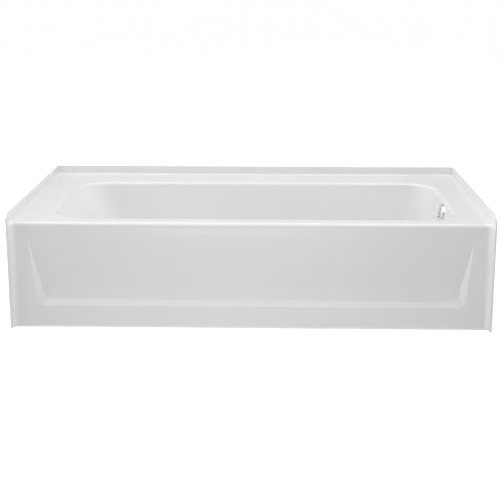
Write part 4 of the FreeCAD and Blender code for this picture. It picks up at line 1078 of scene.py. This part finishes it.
class BuildTripLever(bpy.types.Operator):
    """Shape the lever's paddle on to its hub and arm"""
    bl_idname = "bathtub.build_trip_lever"
    bl_label = "Trip Lever"

    def execute(self, context):
        stance = Matrix.Translation(PIVOT) @ Matrix.Rotation(-LEVER_THROW, 4, "Y")
        works = joined_copy("trip_lever")
        works.transform(stance.inverted())
        root, overlap = -3 * MM, 2 * MM
        everything = works.verts[:] + works.edges[:] + works.faces[:]
        bmesh.ops.bisect_plane(works, geom=everything, plane_co=(root, 0, 0),
                               plane_no=(1, 0, 0), clear_inner=True)
        bmesh.ops.holes_fill(works, edges=[edge for edge in works.edges if edge.is_boundary])
        lever = merge_shapes([works, self.paddle(context.scene.tub_trim, root + overlap)])
        lever.transform(stance)
        present(lever, "lever", "chrome", "trip_lever", "lever")
        return {"FINISHED"}

    def paddle(self, look, start):
        """A tongue of rounded sections that widens, thickens and ends in a round tip."""
        sections, around = 14, 20
        tip_start, root_width = 0.86, 0.62
        thin, thicker = 1.7 * MM, 0.9 * MM
        bow, droop = 0.8 * MM, 0.3 * MM
        flat_sides, flat_faces = 0.6, 0.75
        shape = bmesh.new()
        rings = []
        for number in range(sections + 1):
            share = number / sections
            x = start + (-look.lever_reach - start) * share
            past = max((share - tip_start) / (1 - tip_start), 0)
            tip = math.sqrt(max(1 - past ** 2, 0))
            wide = look.lever_width / 2 * (root_width + (1 - root_width) * share) * tip
            thick = (thin + thicker * share ** 2) * tip
            lift = bow * math.sin(math.pi * share) - droop * share
            if number == sections:
                rings.append([shape.verts.new((x, 0, lift))])
                break
            ring = []
            for corner in range(around):
                angle = 2 * math.pi * corner / around
                side, up = math.cos(angle), math.sin(angle)
                ring.append(shape.verts.new((
                    x, wide * math.copysign(abs(side) ** flat_sides, side),
                    lift + thick * math.copysign(abs(up) ** flat_faces, up))))
            rings.append(ring)
        shape.faces.new(rings[0])
        join_rings(shape, rings)
        return shape


class BuildStrainer(bpy.types.Operator):
    """Drill the domed drain grid and finish the strainer that carries it"""
    bl_idname = "bathtub.build_strainer"
    bl_label = "Drain Strainer"

    def execute(self, context):
        dress("strainer_body", "chrome")
        low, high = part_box("strainer_grid")
        centre = centre_of((low, high))
        rim, bore, sheet, ease = (high.x - low.x) / 2, 2.5 * MM, 1.2 * MM, 0.2 * MM
        brim = rim - 2.5 * MM
        crown = high.z - low.z - sheet
        steps, fullness = 12, 1.3
        top, under = [], []
        for step in range(steps + 1):
            share = step / steps
            radius = brim - (brim - bore) * share
            lift = crown * math.sin(QUARTER * share) ** fullness
            under.append((radius, lift))
            top.append((radius, lift + sheet))
        profile = [(rim, ease), (rim - ease, 0), *under, *top[::-1],
                   (rim - ease, sheet), (rim, sheet - ease)]
        dome = as_object(lathe(profile, 72, closed=True))
        grid = run_tree(drilled_ring, dome, {
            "Holes": context.scene.tub_trim.grid_holes, "Ring Radius": 13 * MM,
            "Hole Radius": 3 * MM, "Depth": 30 * MM, "Finish": finish("chrome")})
        grid.transform(Matrix.Translation((centre.x, centre.y, low.z)))
        present(grid, "drain_grid", "chrome", "strainer_grid")
        self.grid_screw(centre)
        return {"FINISHED"}

    def grid_screw(self, centre):
        """The slotted cheese-head screw in the middle of the grid."""
        low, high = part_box("strainer_screw")
        head, core, inset, tip = 5 * MM, 2.1 * MM, 0.5 * MM, 0.8 * MM
        top = high.z - low.z
        seat = top - head / 3
        crown = [(head, seat + 0.5 * MM), (head * 0.9, top - 0.3 * MM),
                 (head * 0.5, top - 0.05 * MM), (0, top)]
        blank = lathe([(0, 0), (core - inset, 0), (core, tip), (core, seat), (head, seat),
                       *crown], 40)
        long, narrow, deep = head * 1.2, 0.5 * MM, 1 * MM
        blank = carve(blank, [block((-long, -narrow, top - deep), (long, narrow, top + deep))])
        add_screws("grid_screw", blank, [(centre.x, centre.y, low.z)], (0, 0, 0), core,
                   seat - 2 * MM, seat - 4 * MM, FINE_THREAD, "chrome", "strainer_screw")


class BuildWasteRun(bpy.types.Operator):
    """Finish the shoe, tubes, tee, elbow and slip nuts behind the drain end"""
    bl_idname = "bathtub.build_waste_run"
    bl_label = "Waste and Overflow Run"

    def execute(self, context):
        for node in ("drain_shoe", "waste_tee"):
            dress(node, "cast_brass", slot="brass")
        dress("overflow_elbow", "cast_brass", slot="brass", crease=SOFT_CREASE)
        for node in ("waste_tube", "overflow_tube"):
            dress(node, "brass")
        for name in ("overflow", "waste", "outlet"):
            dress(name + "_slip_nut", "brass")
            dress(name + "_slip_washer", "rubber")
        dress("shoe_gasket", "rubber")
        dress("overflow_gasket", "foam", slot="foam_rubber")
        dress("lever_pivot_pin", "brass")
        return {"FINISHED"}


class BuildLinkage(bpy.types.Operator):
    """Bend the linkage wire and finish the rod, coupling, nut and plunger below it"""
    bl_idname = "bathtub.build_linkage"
    bl_label = "Lever Linkage"

    def execute(self, context):
        for node in ("linkage_pin", "linkage_coupling", "plunger_rod", "plunger_lock_nut",
                     "plunger"):
            dress(node, "brass", body="linkage")
        pin = centre_of(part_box("linkage_pin"))
        rod_x = centre_of(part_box("plunger_rod")).x
        low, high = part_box("linkage_wire")
        y = (low.y + high.y) / 2
        radius, eye_turn, jog_drop, jog_slope = 1.25 * MM, 1.8 * math.pi, 42 * MM, 2
        eye = high.z - pin.z - radius
        jog_top = pin.z - jog_drop
        jog_foot = jog_top - jog_slope * (rod_x - pin.x)
        loop = arc((pin.x, pin.z), (eye, eye), -QUARTER, eye_turn, 24)
        route = [(rod_x, low.z), (rod_x, jog_foot), (pin.x, jog_top), *loop]
        line = points_object([(x, y, z) for x, z in route], joined=True)
        wire = run_tree(bent_wire, line, {
            "Wire Radius": radius, "Bend Radius": 5 * MM, "Finish": finish("brass")})
        present(wire, "linkage_wire_bent", "brass", "linkage_wire", "linkage",
                crease=SOFT_CREASE)
        return {"FINISHED"}


class BuildStage(bpy.types.Operator):
    """Lay the pale floor, hang the soft lights and set up the camera"""
    bl_idname = "bathtub.build_stage"
    bl_label = "Floor, Light and Camera"

    # Name, place, turn about X and Y in degrees, size, and whether reflections show it
    lamps = [
        ("top_light", (0, 0.2, 2.4), (0, 0), (2.6, 1.6), True),
        ("strip_light", (0, -1.1, 2.0), (25, 0), (2.6, 0.25), True),
        ("front_light", (-0.05, -1.4, 0.1), (90, 0), (0.9, 0.2), False),
        ("side_light", (-1.9, -0.5, 1.5), (15, -62), (1.2, 1.2), False),
    ]

    def execute(self, context):
        look = context.scene.tub_stage
        context.scene.view_settings.view_transform = "Standard"
        self.lay_floor(look)
        context.scene.world = self.surroundings(look)
        for lamp in self.lamps:
            self.hang(look, *lamp)
        context.scene.camera = self.camera(look)
        return {"FINISHED"}

    def lay_floor(self, look):
        """A wide pale floor that gives the piece neither shade nor soft light."""
        shape = bmesh.new()
        bmesh.ops.create_grid(shape, x_segments=1, y_segments=1, size=look.floor_reach)
        floor = as_object(shape, "floor")
        material, tree, shader = new_material("pale_floor")
        set_inputs(tree, shader, {
            "Base Color": (0.9, 0.9, 0.9, 1), "Roughness": 0.8, "Specular IOR Level": 0.1,
            "Emission Color": (1, 1, 1, 1), "Emission Strength": look.floor_glow})
        floor.data.materials.append(material)
        floor.visible_diffuse = False
        floor.visible_shadow = False

    def surroundings(self, look):
        """White where the camera sees it; what lights the piece differs by direction."""
        world = bpy.data.worlds.new("studio")
        world.use_nodes = True
        tree = world.node_tree
        ways = axes_of(tree, put(tree, "ShaderNodeTexCoord")["Generated"])
        rise = ways[2]
        below = spread(tree, rise, -0.3, 0.0, look.nadir, look.horizon)
        above = spread(tree, rise, 0.1, 0.5, 0.0, look.zenith - look.horizon)
        total = calculate(tree, "ADD", below, above)
        for axis, sign, extra in ((0, -1, look.left_glow), (0, 1, look.right_glow),
                                  (1, -1, look.front_glow), (1, 1, look.back_glow)):
            facing = calculate(tree, "MULTIPLY", ways[axis], sign, clamp=True)
            lobe = calculate(tree, "POWER", facing, 2.0)
            total = calculate(tree, "MULTIPLY_ADD", lobe, extra, total)
        seen = put(tree, "ShaderNodeLightPath")["Is Camera Ray"]
        set_inputs(tree, tree.nodes["Background"], {
            "Color": (1, 1, 1, 1), "Strength": spread(tree, seen, 0.0, 1.0, total, 1.0)})
        return world

    def hang(self, look, name, place, turn, size, glossy):
        """One soft rectangular lamp that the camera doesn't see."""
        lamp = bpy.data.lights.new(name, "AREA")
        lamp.energy = getattr(look, name)
        lamp.shape = "RECTANGLE"
        lamp.size, lamp.size_y = size
        item = new_object(name, lamp)
        item.location = place
        item.rotation_euler = (math.radians(turn[0]), math.radians(turn[1]), 0)
        item.visible_camera = False
        item.visible_glossy = glossy

    def camera(self, look):
        """The camera, placed and aimed after the photo."""
        lens = bpy.data.cameras.new("camera")
        lens.lens = look.focal_length
        lens.shift_y = look.lens_shift
        camera = new_object("camera", lens)
        camera.location = look.eye
        camera.rotation_euler = (QUARTER - look.pitch, 0, -look.yaw)
        return camera


class BathtubPanel(bpy.types.Panel):
    """The bathtub's build steps and settings"""
    bl_idname = "VIEW3D_PT_bathtub"
    bl_label = "Alcove Bathtub"
    bl_space_type = "VIEW_3D"
    bl_region_type = "UI"
    bl_category = "Bathtub"

    def draw(self, context):
        layout = self.layout
        for attribute, group in SETTINGS.items():
            column = layout.box().column()
            for name in group.__annotations__:
                column.prop(getattr(context.scene, attribute), name)
        for operator in STEPS:
            layout.operator(operator.bl_idname)


SETTINGS = {
    "tub_shell": ShellSettings,
    "tub_timber": TimberSettings,
    "tub_trim": TrimSettings,
    "tub_stage": StageSettings,
}
STEPS = [
    BuildShell, BuildTimber, BuildTimberScrews, BuildFacePlate, BuildPlateScrews,
    BuildTripLever, BuildStrainer, BuildWasteRun, BuildLinkage, BuildStage,
]


def register():
    for kind in [*SETTINGS.values(), *STEPS, BathtubPanel]:
        bpy.utils.register_class(kind)
    for attribute, group in SETTINGS.items():
        setattr(bpy.types.Scene, attribute, bpy.props.PointerProperty(type=group))


def unregister():
    for attribute in SETTINGS:
        delattr(bpy.types.Scene, attribute)
    for kind in [BathtubPanel, *reversed(STEPS), *reversed(SETTINGS.values())]:
        bpy.utils.unregister_class(kind)


def main():
    register()
    bpy.ops.bathtub.build_shell()
    bpy.ops.bathtub.build_timber()
    bpy.ops.bathtub.build_timber_screws()
    bpy.ops.bathtub.build_face_plate()
    bpy.ops.bathtub.build_plate_screws()
    bpy.ops.bathtub.build_trip_lever()
    bpy.ops.bathtub.build_strainer()
    bpy.ops.bathtub.build_waste_run()
    bpy.ops.bathtub.build_linkage()
    bpy.ops.bathtub.build_stage()


if __name__ == "__main__":
    main()
